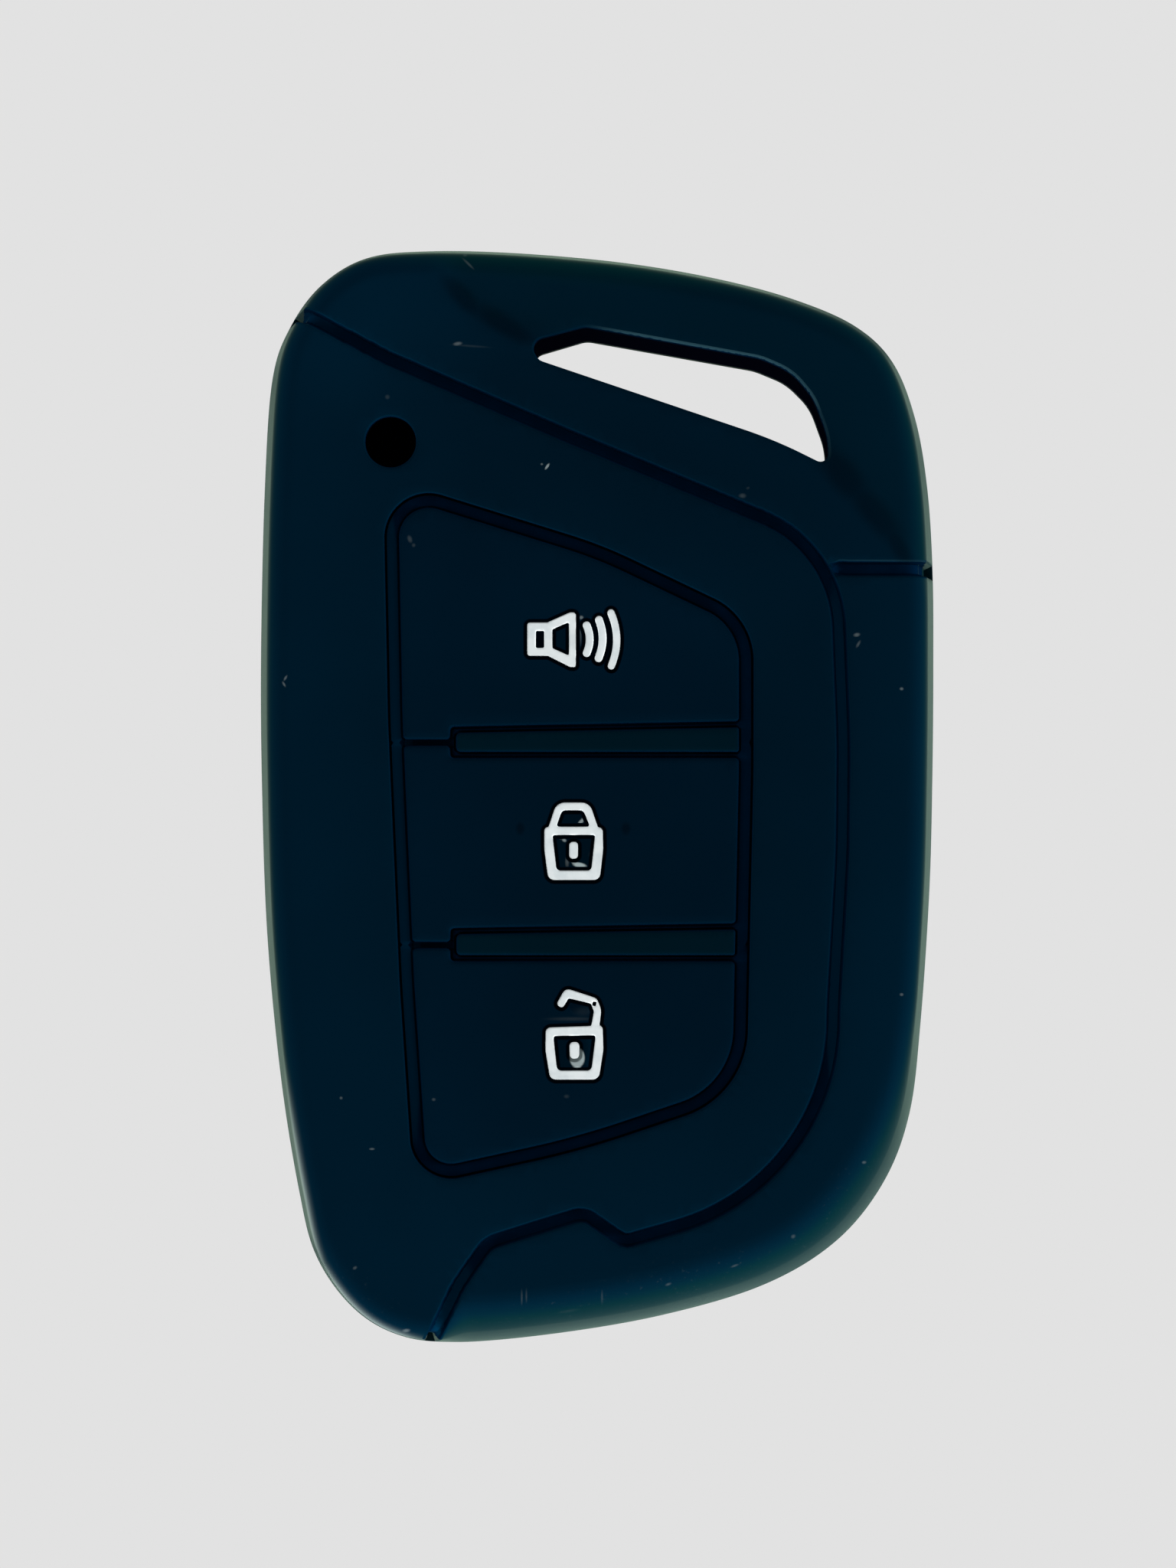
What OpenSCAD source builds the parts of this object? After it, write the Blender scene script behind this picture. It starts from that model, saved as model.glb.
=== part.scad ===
// Soft moulded cover for a three-button key fob.
// It lies on its back: +Z is the button face, +Y points to the key-ring end.
// The origin is on the table, under the middle of the cover. Units: millimetres.

/* [Body] */
// Overall thickness, back face to button face
cover_t = 16; // [15:0.5:18]
// Height of the parting line above the back face
part_z = 7.5; // [6.5:0.5:8.5]
// Thickness of the moulded wall
wall = 1.4; // [1.2:0.1:1.6]
// Height of the rounded edge between the side walls and the button side
edge_round = 1.45; // [1.2:0.05:1.8]
// Lean of the side walls, in degrees
side_draft = 6; // [4:0.5:7]
// How far the leaning wall and the large rounding at the foot of the button side reach in
foot_round = 3.7; // [3.2:0.1:4.2]
// Height of that large rounding
foot_edge = 2.5; // [2:0.1:3]
// How far the rounding of the back reaches in from the edge
back_round = 3.4; // [2.6:0.2:4]

/* [Grooves] */
// Width of the decorative outer groove and of the groove round the buttons
groove_w = 0.95; // [0.8:0.05:1.1]
// Depth of the decorative outer groove
groove_d = 0.6; // [0.4:0.1:0.8]
// Width of the fine grooves round the two divider bars
fine_w = 0.38; // [0.3:0.02:0.42]

/* [Buttons] */
// Thickness of the flexible web round each button
web_t = 0.45; // [0.35:0.05:0.6]
// How far each button travels
travel = 0.5; // [0.3:0.1:0.6]
// Height of the boss under each button that presses the fob's own key
boss_h = 0.7; // [0.5:0.1:0.8]
// Depth of the moulded symbols that hold the white ink
ink_d = 0.25; // [0.2:0.05:0.4]

/* [Openings] */
// Radius of the hole over the fob's indicator light
led_r = 1.65; // [1.5:0.05:2]
// Width of the back opening that the fob is pushed in through
window_w = 27; // [24:1:30]
// Length of the back opening
window_l = 41; // [36:1:44]

/* [Hidden] */
eps = 0.01;
stations = [0, 0.25, 0.4, 0.55, 0.7, 0.85, 1];    // rows of the front skin
steps_back = 6;
power_back = 2.6;      // squareness of the back rounding
skin_colour = [0.01, 0.10, 0.15];
pad_colour = [0.01, 0.08, 0.13];
ink_colour = [0.9, 0.93, 0.93];

// ---- points and curves -------------------------------------------------

function unit(v) = v / norm(v);
function left_of(v) = [-v[1], v[0]];

// A smooth closed curve through hand-placed points, k steps between two of them
function blend4(a, b, c, d, t) =
    0.5 * (2 * b + (c - a) * t + (2 * a - 5 * b + 4 * c - d) * t * t + (3 * b - a - 3 * c + d) * t * t * t);
function closed_curve(P, k) = let (n = len(P))
    [for (i = [0 : n - 1], j = [0 : k - 1])
        blend4(P[(i + n - 1) % n], P[i], P[(i + 1) % n], P[(i + 2) % n], j / k)];

// An arc of k steps in place of corner b, seen from a and towards c
function corner(a, b, c, r, k) =
    let (u = unit(a - b), v = unit(c - b), half = acos(max(-1, min(1, u * v))) / 2,
         t = r / tan(half), m = b + unit(u + v) * (r / sin(half)),
         p = b + u * t - m, q = b + v * t - m,
         s = atan2(p[1], p[0]), e = atan2(q[1], q[0]), turn = ((e - s + 540) % 360) - 180)
    [for (j = [0 : k]) m + r * [cos(s + turn * j / k), sin(s + turn * j / k)]];
function xy(p) = [p[0], p[1]];
// Straight runs with rounded corners, from points [x, y, radius]
function rounded(P, k = 6) = let (n = len(P))
    [for (i = [0 : n - 1]) each corner(xy(P[(i + n - 1) % n]), xy(P[i]), xy(P[(i + 1) % n]), P[i][2], k)];
function rounded_path(P, k = 6) = let (n = len(P))
    concat([xy(P[0])],
           [for (i = [1 : n - 2]) each corner(xy(P[i - 1]), xy(P[i]), xy(P[i + 1]), P[i][2], k)],
           [xy(P[n - 1])]);

// A closed counter-clockwise outline with every side moved inwards by d
function inset(P, d) = let (n = len(P))
    [for (i = [0 : n - 1])
        let (a = left_of(unit(P[i] - P[(i + n - 1) % n])), b = left_of(unit(P[(i + 1) % n] - P[i])))
        P[i] + (a + b) * (d / (1 + a * b))];
// The same with a distance of its own for each point
function inset_each(P, D) = let (n = len(P))
    [for (i = [0 : n - 1])
        let (a = left_of(unit(P[i] - P[(i + n - 1) % n])), b = left_of(unit(P[(i + 1) % n] - P[i])))
        P[i] + (a + b) * (D[i] / (1 + a * b))];
function smooth(t) = let (u = max(0, min(1, t))) u * u * (3 - 2 * u);
// An open path moved to its left by d
function beside(P, d) = let (n = len(P))
    [for (i = [0 : n - 1])
        let (a = left_of(unit(P[max(i, 1)] - P[max(i, 1) - 1])),
             b = left_of(unit(P[min(i + 1, n - 1)] - P[min(i + 1, n - 1) - 1])))
        P[i] + (a + b) * (d / (1 + a * b))];
function reversed(P) = [for (i = [len(P) - 1 : -1 : 0]) P[i]];
function stroke(P, w) = concat(beside(P, -w / 2), reversed(beside(P, w / 2)));
// A stroke with round ends
function round_stroke(P, w, k = 6) =
    let (n = len(P), a = unit(P[0] - P[1]), b = unit(P[n - 1] - P[n - 2]),
         sa = atan2(a[1], a[0]), sb = atan2(b[1], b[0]))
    concat(beside(P, -w / 2),
           [for (j = [1 : k - 1]) P[n - 1] + w / 2 * [cos(sb - 90 + 180 * j / k), sin(sb - 90 + 180 * j / k)]],
           reversed(beside(P, w / 2)),
           [for (j = [1 : k - 1]) P[0] + w / 2 * [cos(sa - 90 + 180 * j / k), sin(sa - 90 + 180 * j / k)]]);

// ---- outlines ----------------------------------------------------------

// Widest outline, at the parting line, counter-clockwise from the right
outline = closed_curve([
    [22.2, 2], [22.25, 9], [22.2, 15], [21.85, 20.4], [21.05, 25], [19.55, 28.75], [17.05, 31.15],
    [13.05, 32.9], [8.05, 34.25], [2, 35.3], [-5, 35.95], [-11, 36.1], [-15.2, 35.65], [-18.2, 33.9],
    [-20.3, 31.1], [-21.5, 27.6], [-22, 20.5], [-22.25, 10], [-22.2, 1], [-21.85, -9],
    [-20.95, -18.5], [-19.75, -26], [-18.6, -30.4], [-16.25, -33.75], [-13.25, -35.6], [-9.5, -36.1],
    [-3, -35.55], [4.3, -34.3], [11, -32.3], [15.75, -29.45], [18.9, -25.6], [20.65, -21.05],
    [21.4, -15], [22, -6]], 3);

// Middle line of the groove that frames the three buttons, counter-clockwise
ring = rounded([
    [-13.4, 20.1, 2.4], [-13.1, 5, 80], [-12.35, -12, 80], [-11.5, -24.75, 2.2], [-1.2, -22.5, 60],
    [9.2, -19, 5.5], [9.65, 2, 80], [9.65, 11.35, 4], [0.1, 15.9, 30]]);
panel_open = inset(ring, -groove_w / 2);
panel_in = inset(ring, groove_w / 2);

// Middle line of the long decorative groove, from the upper left edge to the bottom edge
long_groove = rounded_path([
    [-23, 31.45, 0], [-18.9, 31.25, 3], [-13.6, 28.45, 9], [-2.05, 23.45, 60], [15.45, 16.15, 8],
    [15.95, 3.5, 60], [15.88, -3.5, 60], [15.3, -13.5, 40], [15.05, -25, 14], [1.75, -28.8, 0.9], [-0.9, -26.95, 1.3],
    [-7.1, -28.9, 1.8], [-9, -31.6, 6], [-12.3, -38.5, 0]]);
short_groove = [[15.6, 14.8], [24, 14.75]];

// Key-ring slot, counter-clockwise: in the button side, and a little longer in the back
function slot_outline(right) = rounded([
    [-4.5, 29.6, 0.7], [-3.5, 28.2, 0.7], [5.5, 25.2, 30], [right - 0.1, 21.2, 0.6], [right, 28, 5.6],
    [9.9, 28.8, 6], [-0.7, 30.7, 2.2]]);
slot_front = slot_outline(15.2);
slot_back = slot_outline(15.6);

// Back opening
window = rounded([
    [-window_w / 2 - 1, window_l / 2 - 5, 6], [-window_w / 2 - 1, -window_l / 2 - 5, 6],
    [window_w / 2 - 1, -window_l / 2 - 5, 6], [window_w / 2 - 1, window_l / 2 - 5, 6]], 8);

// ---- solids ------------------------------------------------------------

// A closed skin from stacked outlines: rings is a list of [inset, z] from bottom to top
module loft(rings) {
    n = len(outline);
    m = len(rings);
    points = [for (r = rings) each [for (p = inset(outline, r[0])) [p[0], p[1], r[1]]]];
    faces = concat(
        [[for (i = [0 : n - 1]) i]],
        [for (j = [0 : m - 2], i = [0 : n - 1])
            [j * n + i, (j + 1) * n + i, (j + 1) * n + (i + 1) % n, j * n + (i + 1) % n]],
        [[for (i = [n - 1 : -1 : 0]) (m - 1) * n + i]]);
    polyhedron(points = points, faces = faces, convexity = 4);
}
// A closed skin from rings of points, from bottom to top; the first and last ring are flat
module skin(rings) {
    n = len(outline);
    m = len(rings);
    faces = concat(
        [[for (i = [0 : n - 1]) i]],
        [for (j = [0 : m - 2], i = [0 : n - 1])
            let (a = j * n + i, b = (j + 1) * n + i, c = (j + 1) * n + (i + 1) % n, d = j * n + (i + 1) % n)
            each (share[i] == share[(i + 1) % n] ? [[a, b, c, d]] : [[a, b, c], [a, c, d]])],
        [[for (i = [n - 1 : -1 : 0]) (m - 1) * n + i]]);
    polyhedron(points = [for (r = rings) each r], faces = faces, convexity = 4);
}
// Share of the large foot rounding at each point of the outline; the rest is side wall and rounded edge
share = [for (p = outline) round(100 * smooth((p[0] + 10.6) / 2.4) * smooth((-13 - p[1]) / 15)) / 100];
// Inset and height of the front skin over the parting line, at q = 0 (parting line) to 1 (button side)
function side_curve(q, h, c) =
    let (t = max(0, (q - 0.25) / 0.75), lean = tan(side_draft), a = min(1, q / 0.25))
    [((1 - t) * (1 - t) * (h - c) * a + 2 * t * (1 - t) * h + t * t * h) * lean + t * t * 0.93 * c,
     (1 - t) * (1 - t) * (h - c) * a + 2 * t * (1 - t) * h + t * t * h];
function foot_curve(q, h, c, r) =
    let (t = max(0, (q - 0.25) / 0.75), a = min(1, q / 0.25))
    [((1 - t) * (1 - t) * 0.32 * (0.25 * a + 0.75 * a * a) + 2 * t * (1 - t) * 0.6 + t * t) * r,
     (1 - t) * (1 - t) * (h - c) * a + 2 * t * (1 - t) * h + t * t * h];
function front_ring(q, e) =
    let (h = cover_t - part_z - e, s = side_curve(q, h, edge_round - 0.3 * e),
         f = foot_curve(q, h, foot_edge - 0.3 * e, foot_round - 0.5 * e),
         P = inset_each(outline, [for (w = share) e + (1 - w) * s[0] + w * f[0]]))
    [for (i = [0 : len(P) - 1]) [P[i][0], P[i][1], part_z + (1 - share[i]) * s[1] + share[i] * f[1]]];
// The front half with its surface moved in by e, and its open side drawn down by more
module front_solid(e, more = 0)
    skin(concat(more > 0 ? [[for (p = inset(outline, e)) [p[0], p[1], part_z - more]]] : [],
        [for (q = stations) front_ring(q, e)]));
// The back half likewise, with its open side drawn up by more
module back_solid(e, more = 0) {
    h = part_z - e;
    a = back_round - 0.5 * e;
    loft(concat(
        [for (k = [steps_back : -1 : 0]) let (t = 90 * k / steps_back)
            [e + a * (1 - pow(cos(t), 2 / power_back)), part_z - h * pow(sin(t), 2 / power_back)]],
        more > 0 ? [[e, part_z + more]] : []));
}
module prism(P, z0, z1) translate([0, 0, z0]) linear_extrude(height = z1 - z0) polygon(P);

led_x = -13.4;
led_y = 23;

module front_shell() color(skin_colour)
difference() {
    front_solid(0);
    front_solid(wall, 1);
    prism(panel_open, part_z, cover_t + 1);
    prism(slot_front, part_z - 1, cover_t + 1);
    translate([led_x, led_y, part_z]) cylinder(r = led_r, h = cover_t, $fn = 64);
    difference() {
        prism(stroke(long_groove, groove_w), part_z - 1, cover_t + 1);
        front_solid(groove_d, 2);
    }
    difference() {
        prism(stroke(short_groove, groove_w), part_z - 1, cover_t + 1);
        front_solid(groove_d, 2);
    }
}

module back_shell() color(skin_colour)
difference() {
    back_solid(0);
    back_solid(wall, 1);
    prism(slot_back, -1, part_z + 1);
    prism(window, -1, part_z);
}

// ---- buttons -----------------------------------------------------------

web_z1 = cover_t - groove_d;
web_z0 = web_z1 - web_t;
inner_z = cover_t - wall;
g = fine_w / 2;

// Middle lines of the fine grooves: bar 1 and bar 2, each [left end x, top left y, top right y, bottom y, neck y]
bar_1 = [-9.35, 4.35, 4.75, 2.72, 3.52];
bar_2 = [-9.33, -8.7, -8.35, -10.45, -9.6];
far = 12;

// Area of each button between its own fine grooves, wider than the panel at both sides
function above(b, d) = [[-20, b[4] + d], [b[0] - d, b[4] + d], [b[0] - d, b[1] + d], [far, b[2] + d]];
function below(b, d) = [[-20, b[4] - d], [b[0] - d, b[4] - d], [b[0] - d, b[3] - d], [far, b[3] - d]];
function bar_area(b, d) = [[b[0] + d, b[3] + d], [far, b[3] + d], [far, b[2] - d], [b[0] + d, b[1] - d]];

horn_area = concat(above(bar_1, g), [[far, 25], [-20, 25]]);
lock_area = concat(reversed(below(bar_1, g)), above(bar_2, g));
unlock_area = concat(reversed(below(bar_2, g)), [[-20, -30], [far, -30]]);
// Bands that share the webs out between the buttons
function band(y0, y1) = [[-20, y0], [far, y0], [far, y1], [-20, y1]];
horn_band = band(bar_1[4], 25);
lock_band = band(bar_2[4], bar_1[4]);
unlock_band = band(-30, bar_2[4]);

module pad_blank(area, z0, z1)
intersection() {
    prism(panel_in, z0, z1);
    prism(area, z0 - 1, z1 + 1);
}
module boss(x, y, w, l) translate([x - w / 2, y - l / 2, inner_z - boss_h]) cube([w, l, boss_h + eps]);

module web(strip, area)
difference() {
    intersection() {
        prism(panel_open, web_z0, web_z1);
        prism(strip, web_z0 - 1, web_z1 + 1);
    }
    intersection() {
        prism(panel_in, web_z0 - 1, web_z1 + 1);
        prism(area, web_z0 - 2, web_z1 + 2);
    }
}
module horn_web() color(pad_colour)
    difference() { web(horn_band, horn_area); bar_blank(bar_1); }
module lock_web() color(pad_colour)
    difference() { web(lock_band, lock_area); bar_blank(bar_1); bar_blank(bar_2); }
module unlock_web() color(pad_colour)
    difference() { web(unlock_band, unlock_area); bar_blank(bar_2); }

module bar_blank(b)
intersection() {
    prism(panel_in, inner_z, cover_t);
    prism(bar_area(b, g), inner_z - 1, cover_t + 1);
}
module upper_bar() color(skin_colour) bar_blank(bar_1);
module lower_bar() color(skin_colour) bar_blank(bar_2);

// ---- symbols -----------------------------------------------------------

ink_w = 0.53;
ink_z = cover_t - ink_d;
module ink(P, over = 0) prism(P, ink_z, cover_t - 0.05 + over);

speaker_outer = rounded([
    [-4.58, 11.33, 0.15], [-4.58, 9.1, 0.15], [-3.2, 9.1, 0.2], [-1.75, 8.37, 0.2],
    [-1.36, 8.37, 0.15], [-1.36, 11.98, 0.15], [-1.75, 11.98, 0.2], [-3.2, 11.33, 0.2]], 3);
speaker_box_hole = [[-4, 10.77], [-4, 9.64], [-3.46, 9.64], [-3.46, 10.77]];
speaker_cone_hole = [[-2.9, 10.86], [-2.9, 9.64], [-1.85, 9.17], [-1.85, 11.32]];
wave_small = rounded_path([[-0.7, 11.12, 0], [-0.35, 10.22, 2.1], [-0.7, 9.31, 0]]);
wave_middle = rounded_path([[0.1, 11.48, 0], [0.52, 10.2, 3.1], [0.07, 8.97, 0]]);
wave_large = rounded_path([[0.88, 11.93, 0], [1.56, 10.2, 4.2], [0.9, 8.48, 0]]);

lock_body = rounded([
    [-3.47, -1.96, 0.3], [-3.47, -3.4, 2], [-3.22, -5.42, 0.4], [0.2, -5.42, 0.4], [0.42, -3.4, 2],
    [0.38, -1.96, 0.3]], 4);
lock_hole = rounded([
    [-2.9, -2.5, 0.1], [-2.62, -4.76, 0.2], [-0.42, -4.76, 0.2], [-0.17, -2.5, 0.1]], 3);
lock_bow = rounded_path([
    [-3, -2.2, 0], [-2.4, -0.61, 0.45], [-0.72, -0.61, 0.45], [-0.16, -2.2, 0]], 4);
lock_key = rounded([
    [-1.85, -2.9, 0.25], [-1.85, -4.03, 0.25], [-1.23, -4.03, 0.25], [-1.23, -2.9, 0.25]], 4);

unlock_body = rounded([
    [-3.4, -14.92, 0.3], [-3.42, -16.4, 2], [-3.15, -18.4, 0.4], [0.18, -18.4, 0.4], [0.43, -16.4, 2],
    [0.38, -14.9, 0.3]], 4);
unlock_hole = rounded([
    [-2.8, -15.5, 0.1], [-2.57, -17.75, 0.2], [-0.43, -17.75, 0.2], [-0.18, -15.5, 0.1]], 3);
unlock_bow = rounded_path([
    [-2.48, -13.58, 0], [-2.04, -12.64, 0.3], [-0.18, -13.2, 0.35], [0, -13.85, 0.8], [-0.14, -15.1, 0]], 4);
unlock_key = rounded([
    [-1.84, -15.86, 0.28], [-1.84, -17, 0.28], [-1.15, -17, 0.28], [-1.15, -15.86, 0.28]], 4);

module speaker_mark(over = 0) difference() {
    ink(speaker_outer, over);
    prism(speaker_box_hole, ink_z - 1, cover_t + 1);
    prism(speaker_cone_hole, ink_z - 1, cover_t + 1);
}
module lock_mark(over = 0) union() {
    difference() {
        ink(lock_body, over);
        prism(lock_hole, ink_z - 1, cover_t + 1);
    }
    ink(stroke(lock_bow, ink_w), over);
}
module unlock_mark(over = 0) union() {
    difference() {
        ink(unlock_body, over);
        prism(unlock_hole, ink_z - 1, cover_t + 1);
    }
    ink(round_stroke(unlock_bow, ink_w), over);
}

module horn_pad() color(pad_colour)
difference() {
    union() {
        pad_blank(horn_area, inner_z, cover_t);
        boss(-2, 10.2, 9, 5);
    }
    speaker_mark(1);
    ink(round_stroke(wave_small, ink_w), 1);
    ink(round_stroke(wave_middle, ink_w), 1);
    ink(round_stroke(wave_large, ink_w), 1);
}
module lock_pad() color(pad_colour)
difference() {
    union() {
        pad_blank(lock_area, inner_z, cover_t);
        boss(-1.6, -3, 9, 5);
    }
    lock_mark(1);
    ink(lock_key, 1);
}
module unlock_pad() color(pad_colour)
difference() {
    union() {
        pad_blank(unlock_area, inner_z, cover_t);
        boss(-1.5, -15.5, 9, 5);
    }
    unlock_mark(1);
    ink(unlock_key, 1);
}

module horn_speaker_ink() color(ink_colour) speaker_mark();
module horn_wave_small_ink() color(ink_colour) ink(round_stroke(wave_small, ink_w));
module horn_wave_middle_ink() color(ink_colour) ink(round_stroke(wave_middle, ink_w));
module horn_wave_large_ink() color(ink_colour) ink(round_stroke(wave_large, ink_w));
module lock_outline_ink() color(ink_colour) lock_mark();
module lock_keyhole_ink() color(ink_colour) ink(lock_key);
module unlock_outline_ink() color(ink_colour) unlock_mark();
module unlock_keyhole_ink() color(ink_colour) ink(unlock_key);

front_shell();
back_shell();
horn_pad();
lock_pad();
unlock_pad();
horn_web();
lock_web();
unlock_web();
upper_bar();
lower_bar();
horn_speaker_ink();
horn_wave_small_ink();
horn_wave_middle_ink();
horn_wave_large_ink();
lock_outline_ink();
lock_keyhole_ink();
unlock_outline_ink();
unlock_keyhole_ink();
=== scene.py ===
import math

import bpy
import numpy as np
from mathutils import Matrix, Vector
from mathutils.geometry import delaunay_2d_cdt
from mathutils.kdtree import KDTree


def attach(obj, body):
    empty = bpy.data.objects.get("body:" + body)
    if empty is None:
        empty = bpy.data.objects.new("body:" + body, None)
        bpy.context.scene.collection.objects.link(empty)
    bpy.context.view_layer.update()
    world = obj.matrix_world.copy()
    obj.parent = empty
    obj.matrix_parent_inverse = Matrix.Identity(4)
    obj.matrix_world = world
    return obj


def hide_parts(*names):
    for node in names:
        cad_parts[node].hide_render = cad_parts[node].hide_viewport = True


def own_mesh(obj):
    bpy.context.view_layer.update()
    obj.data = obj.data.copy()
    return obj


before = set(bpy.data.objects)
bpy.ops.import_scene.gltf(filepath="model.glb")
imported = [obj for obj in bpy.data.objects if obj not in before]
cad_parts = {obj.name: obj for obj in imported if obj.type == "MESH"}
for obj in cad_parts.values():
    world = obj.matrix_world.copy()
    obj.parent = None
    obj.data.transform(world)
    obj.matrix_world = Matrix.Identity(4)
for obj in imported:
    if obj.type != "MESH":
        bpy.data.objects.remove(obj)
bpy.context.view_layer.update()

MM = 0.001
# The driving sizes of the part, in millimetres, as in the CAD model
COVER_T = 16.0
PART_Z = 7.5
WALL = 1.4
DRAFT_SIDE = 0.106     # lean of the side walls
EDGE_ROUND = 1.45      # height of the rounded edge between side wall and button side
FRONT_ROUND = 3.7      # reach of the leaning wall and the large rounding at the foot
FOOT_EDGE = 2.5        # height of that large rounding
BACK_ROUND = 3.4
POWER_BACK = 2.6
GROOVE_W = 0.95
GROOVE_D = 0.6
FINE = 0.19
LED = (-13.4, 23.0, 1.65)

# ------------------------------------------------------------------ curves


def catmull(P, k):
    """A smooth closed curve through the points."""
    P = np.asarray(P, float)
    out = []
    n = len(P)
    for i in range(n):
        a, b, c, d = P[i - 1], P[i], P[(i + 1) % n], P[(i + 2) % n]
        for j in range(k):
            t = j / k
            out.append(0.5 * (2 * b + (c - a) * t + (2 * a - 5 * b + 4 * c - d) * t * t + (3 * b - a - 3 * c + d) * t ** 3))
    return np.array(out)


def corner(a, b, c, r, step=0.2):
    """The arc that rounds corner b between a and c."""
    a, b, c = (np.asarray(v, float)[:2] for v in (a, b, c))
    u, v = (a - b) / np.linalg.norm(a - b), (c - b) / np.linalg.norm(c - b)
    half = math.acos(max(-1, min(1, float(u @ v)))) / 2
    w = (u + v) / np.linalg.norm(u + v)
    m = b + w * (r / math.sin(half))
    p, q = b + u * r / math.tan(half) - m, b + v * r / math.tan(half) - m
    s, e = math.atan2(p[1], p[0]), math.atan2(q[1], q[0])
    turn = (e - s + 3 * math.pi) % (2 * math.pi) - math.pi
    k = max(3, int(math.ceil(abs(turn) * max(r / step, 3.5))))
    return [m + r * np.array([math.cos(s + turn * j / k), math.sin(s + turn * j / k)]) for j in range(k + 1)]


def rounded(P, step=0.2, closed=True):
    """The polygon with its corners rounded by each point's radius, less where an edge is too short for both its roundings."""
    n = len(P)
    A = np.array([p[:2] for p in P], float)
    reach = np.zeros(n)
    for i in range(n):
        if P[i][2] > 0 and (closed or 0 < i < n - 1):
            u, v = A[i - 1] - A[i], A[(i + 1) % n] - A[i]
            c = float(u @ v) / (np.linalg.norm(u) * np.linalg.norm(v))
            reach[i] = P[i][2] * math.sqrt(max(0.0, (1 + c) / max(1 - c, 1e-12)))
    fit = np.ones(n)
    for i in range(n if closed else n - 1):
        j = (i + 1) % n
        room = 0.97 * np.linalg.norm(A[j] - A[i])
        if reach[i] + reach[j] > room:
            k = room / (reach[i] + reach[j])
            fit[i], fit[j] = min(fit[i], k), min(fit[j], k)
    P = [(p[0], p[1], p[2] * f) for p, f in zip(P, fit)]
    out = []
    for i in range(n):
        if not closed and i in (0, n - 1):
            out.append(np.array(P[i][:2], float))
        elif P[i][2] <= 0:
            out.append(np.array(P[i][:2], float))
        else:
            out += corner(P[i - 1], P[i], P[(i + 1) % n], P[i][2], step)
    return np.array(out)


def spaced(P, step, closed=True):
    """The same line with no edge longer than step."""
    P = np.asarray(P, float)
    out = []
    n = len(P)
    for i in range(n if closed else n - 1):
        a, b = P[i], P[(i + 1) % n]
        k = max(1, int(math.ceil(np.linalg.norm(b - a) / step)))
        out += [a + (b - a) * j / k for j in range(k)]
    if not closed:
        out.append(P[-1])
    return np.array(out)


def shifted(P, d, closed=True):
    """The line moved to its left by d, which is inwards on a counter-clockwise outline."""
    P = np.asarray(P, float)
    if closed:
        e_in, e_out = P - np.roll(P, 1, 0), np.roll(P, -1, 0) - P
    else:
        e = np.diff(P, axis=0)
        e_in, e_out = np.vstack([e[:1], e]), np.vstack([e, e[-1:]])
    e_in = e_in / np.linalg.norm(e_in, axis=1)[:, None]
    e_out = e_out / np.linalg.norm(e_out, axis=1)[:, None]
    a, b = np.c_[-e_in[:, 1], e_in[:, 0]], np.c_[-e_out[:, 1], e_out[:, 0]]
    k = np.maximum(1 + (a * b).sum(1), 0.6)
    return P + (a + b) * (d / k)[:, None]


def normals(P):
    """Unit normals to the left of a closed line."""
    t = np.roll(P, -1, 0) - np.roll(P, 1, 0)
    t = t / np.linalg.norm(t, axis=1)[:, None]
    return np.c_[-t[:, 1], t[:, 0]]


def distance(Q, P, closed=True, signed=False):
    """Distance of points Q from line P; signed is positive to its left."""
    Q, P = np.asarray(Q, float), np.asarray(P, float)
    A, B = (P, np.roll(P, -1, 0)) if closed else (P[:-1], P[1:])
    E = B - A
    L2 = np.maximum((E ** 2).sum(1), 1e-18)
    best = np.full(len(Q), 1e18)
    seg = np.zeros(len(Q), int)
    par = np.zeros(len(Q))
    for s in range(0, len(Q), 4000):
        q = Q[s:s + 4000]
        d = q[:, None, :] - A[None]
        t = np.clip((d * E[None]).sum(2) / L2[None], 0, 1)
        r = ((d - t[:, :, None] * E[None]) ** 2).sum(2)
        i = r.argmin(1)
        best[s:s + 4000] = r[np.arange(len(q)), i]
        seg[s:s + 4000] = i
        par[s:s + 4000] = t[np.arange(len(q)), i]
    best = np.sqrt(best)
    if not signed:
        return best
    foot = A[seg] + par[:, None] * E[seg]
    d = Q - foot
    side = np.sign(E[seg][:, 0] * d[:, 1] - E[seg][:, 1] * d[:, 0])
    return best * np.where(side == 0, 1, side), foot, seg, par


def inside(Q, P):
    """Which of the points Q lie in the closed outline P."""
    Q = np.asarray(Q, float)
    x, y = Q[:, 0], Q[:, 1]
    got = np.zeros(len(Q), bool)
    n = len(P)
    for i in range(n):
        (x0, y0), (x1, y1) = P[i], P[(i + 1) % n]
        if y0 == y1:
            continue
        hit = (y0 > y) != (y1 > y)
        got ^= hit & (x < (x1 - x0) * (y - y0) / (y1 - y0) + x0)
    return got


def smooth(t):
    t = np.clip(t, 0, 1)
    return t * t * (3 - 2 * t)


# ------------------------------------------------------------------ outlines

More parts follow.
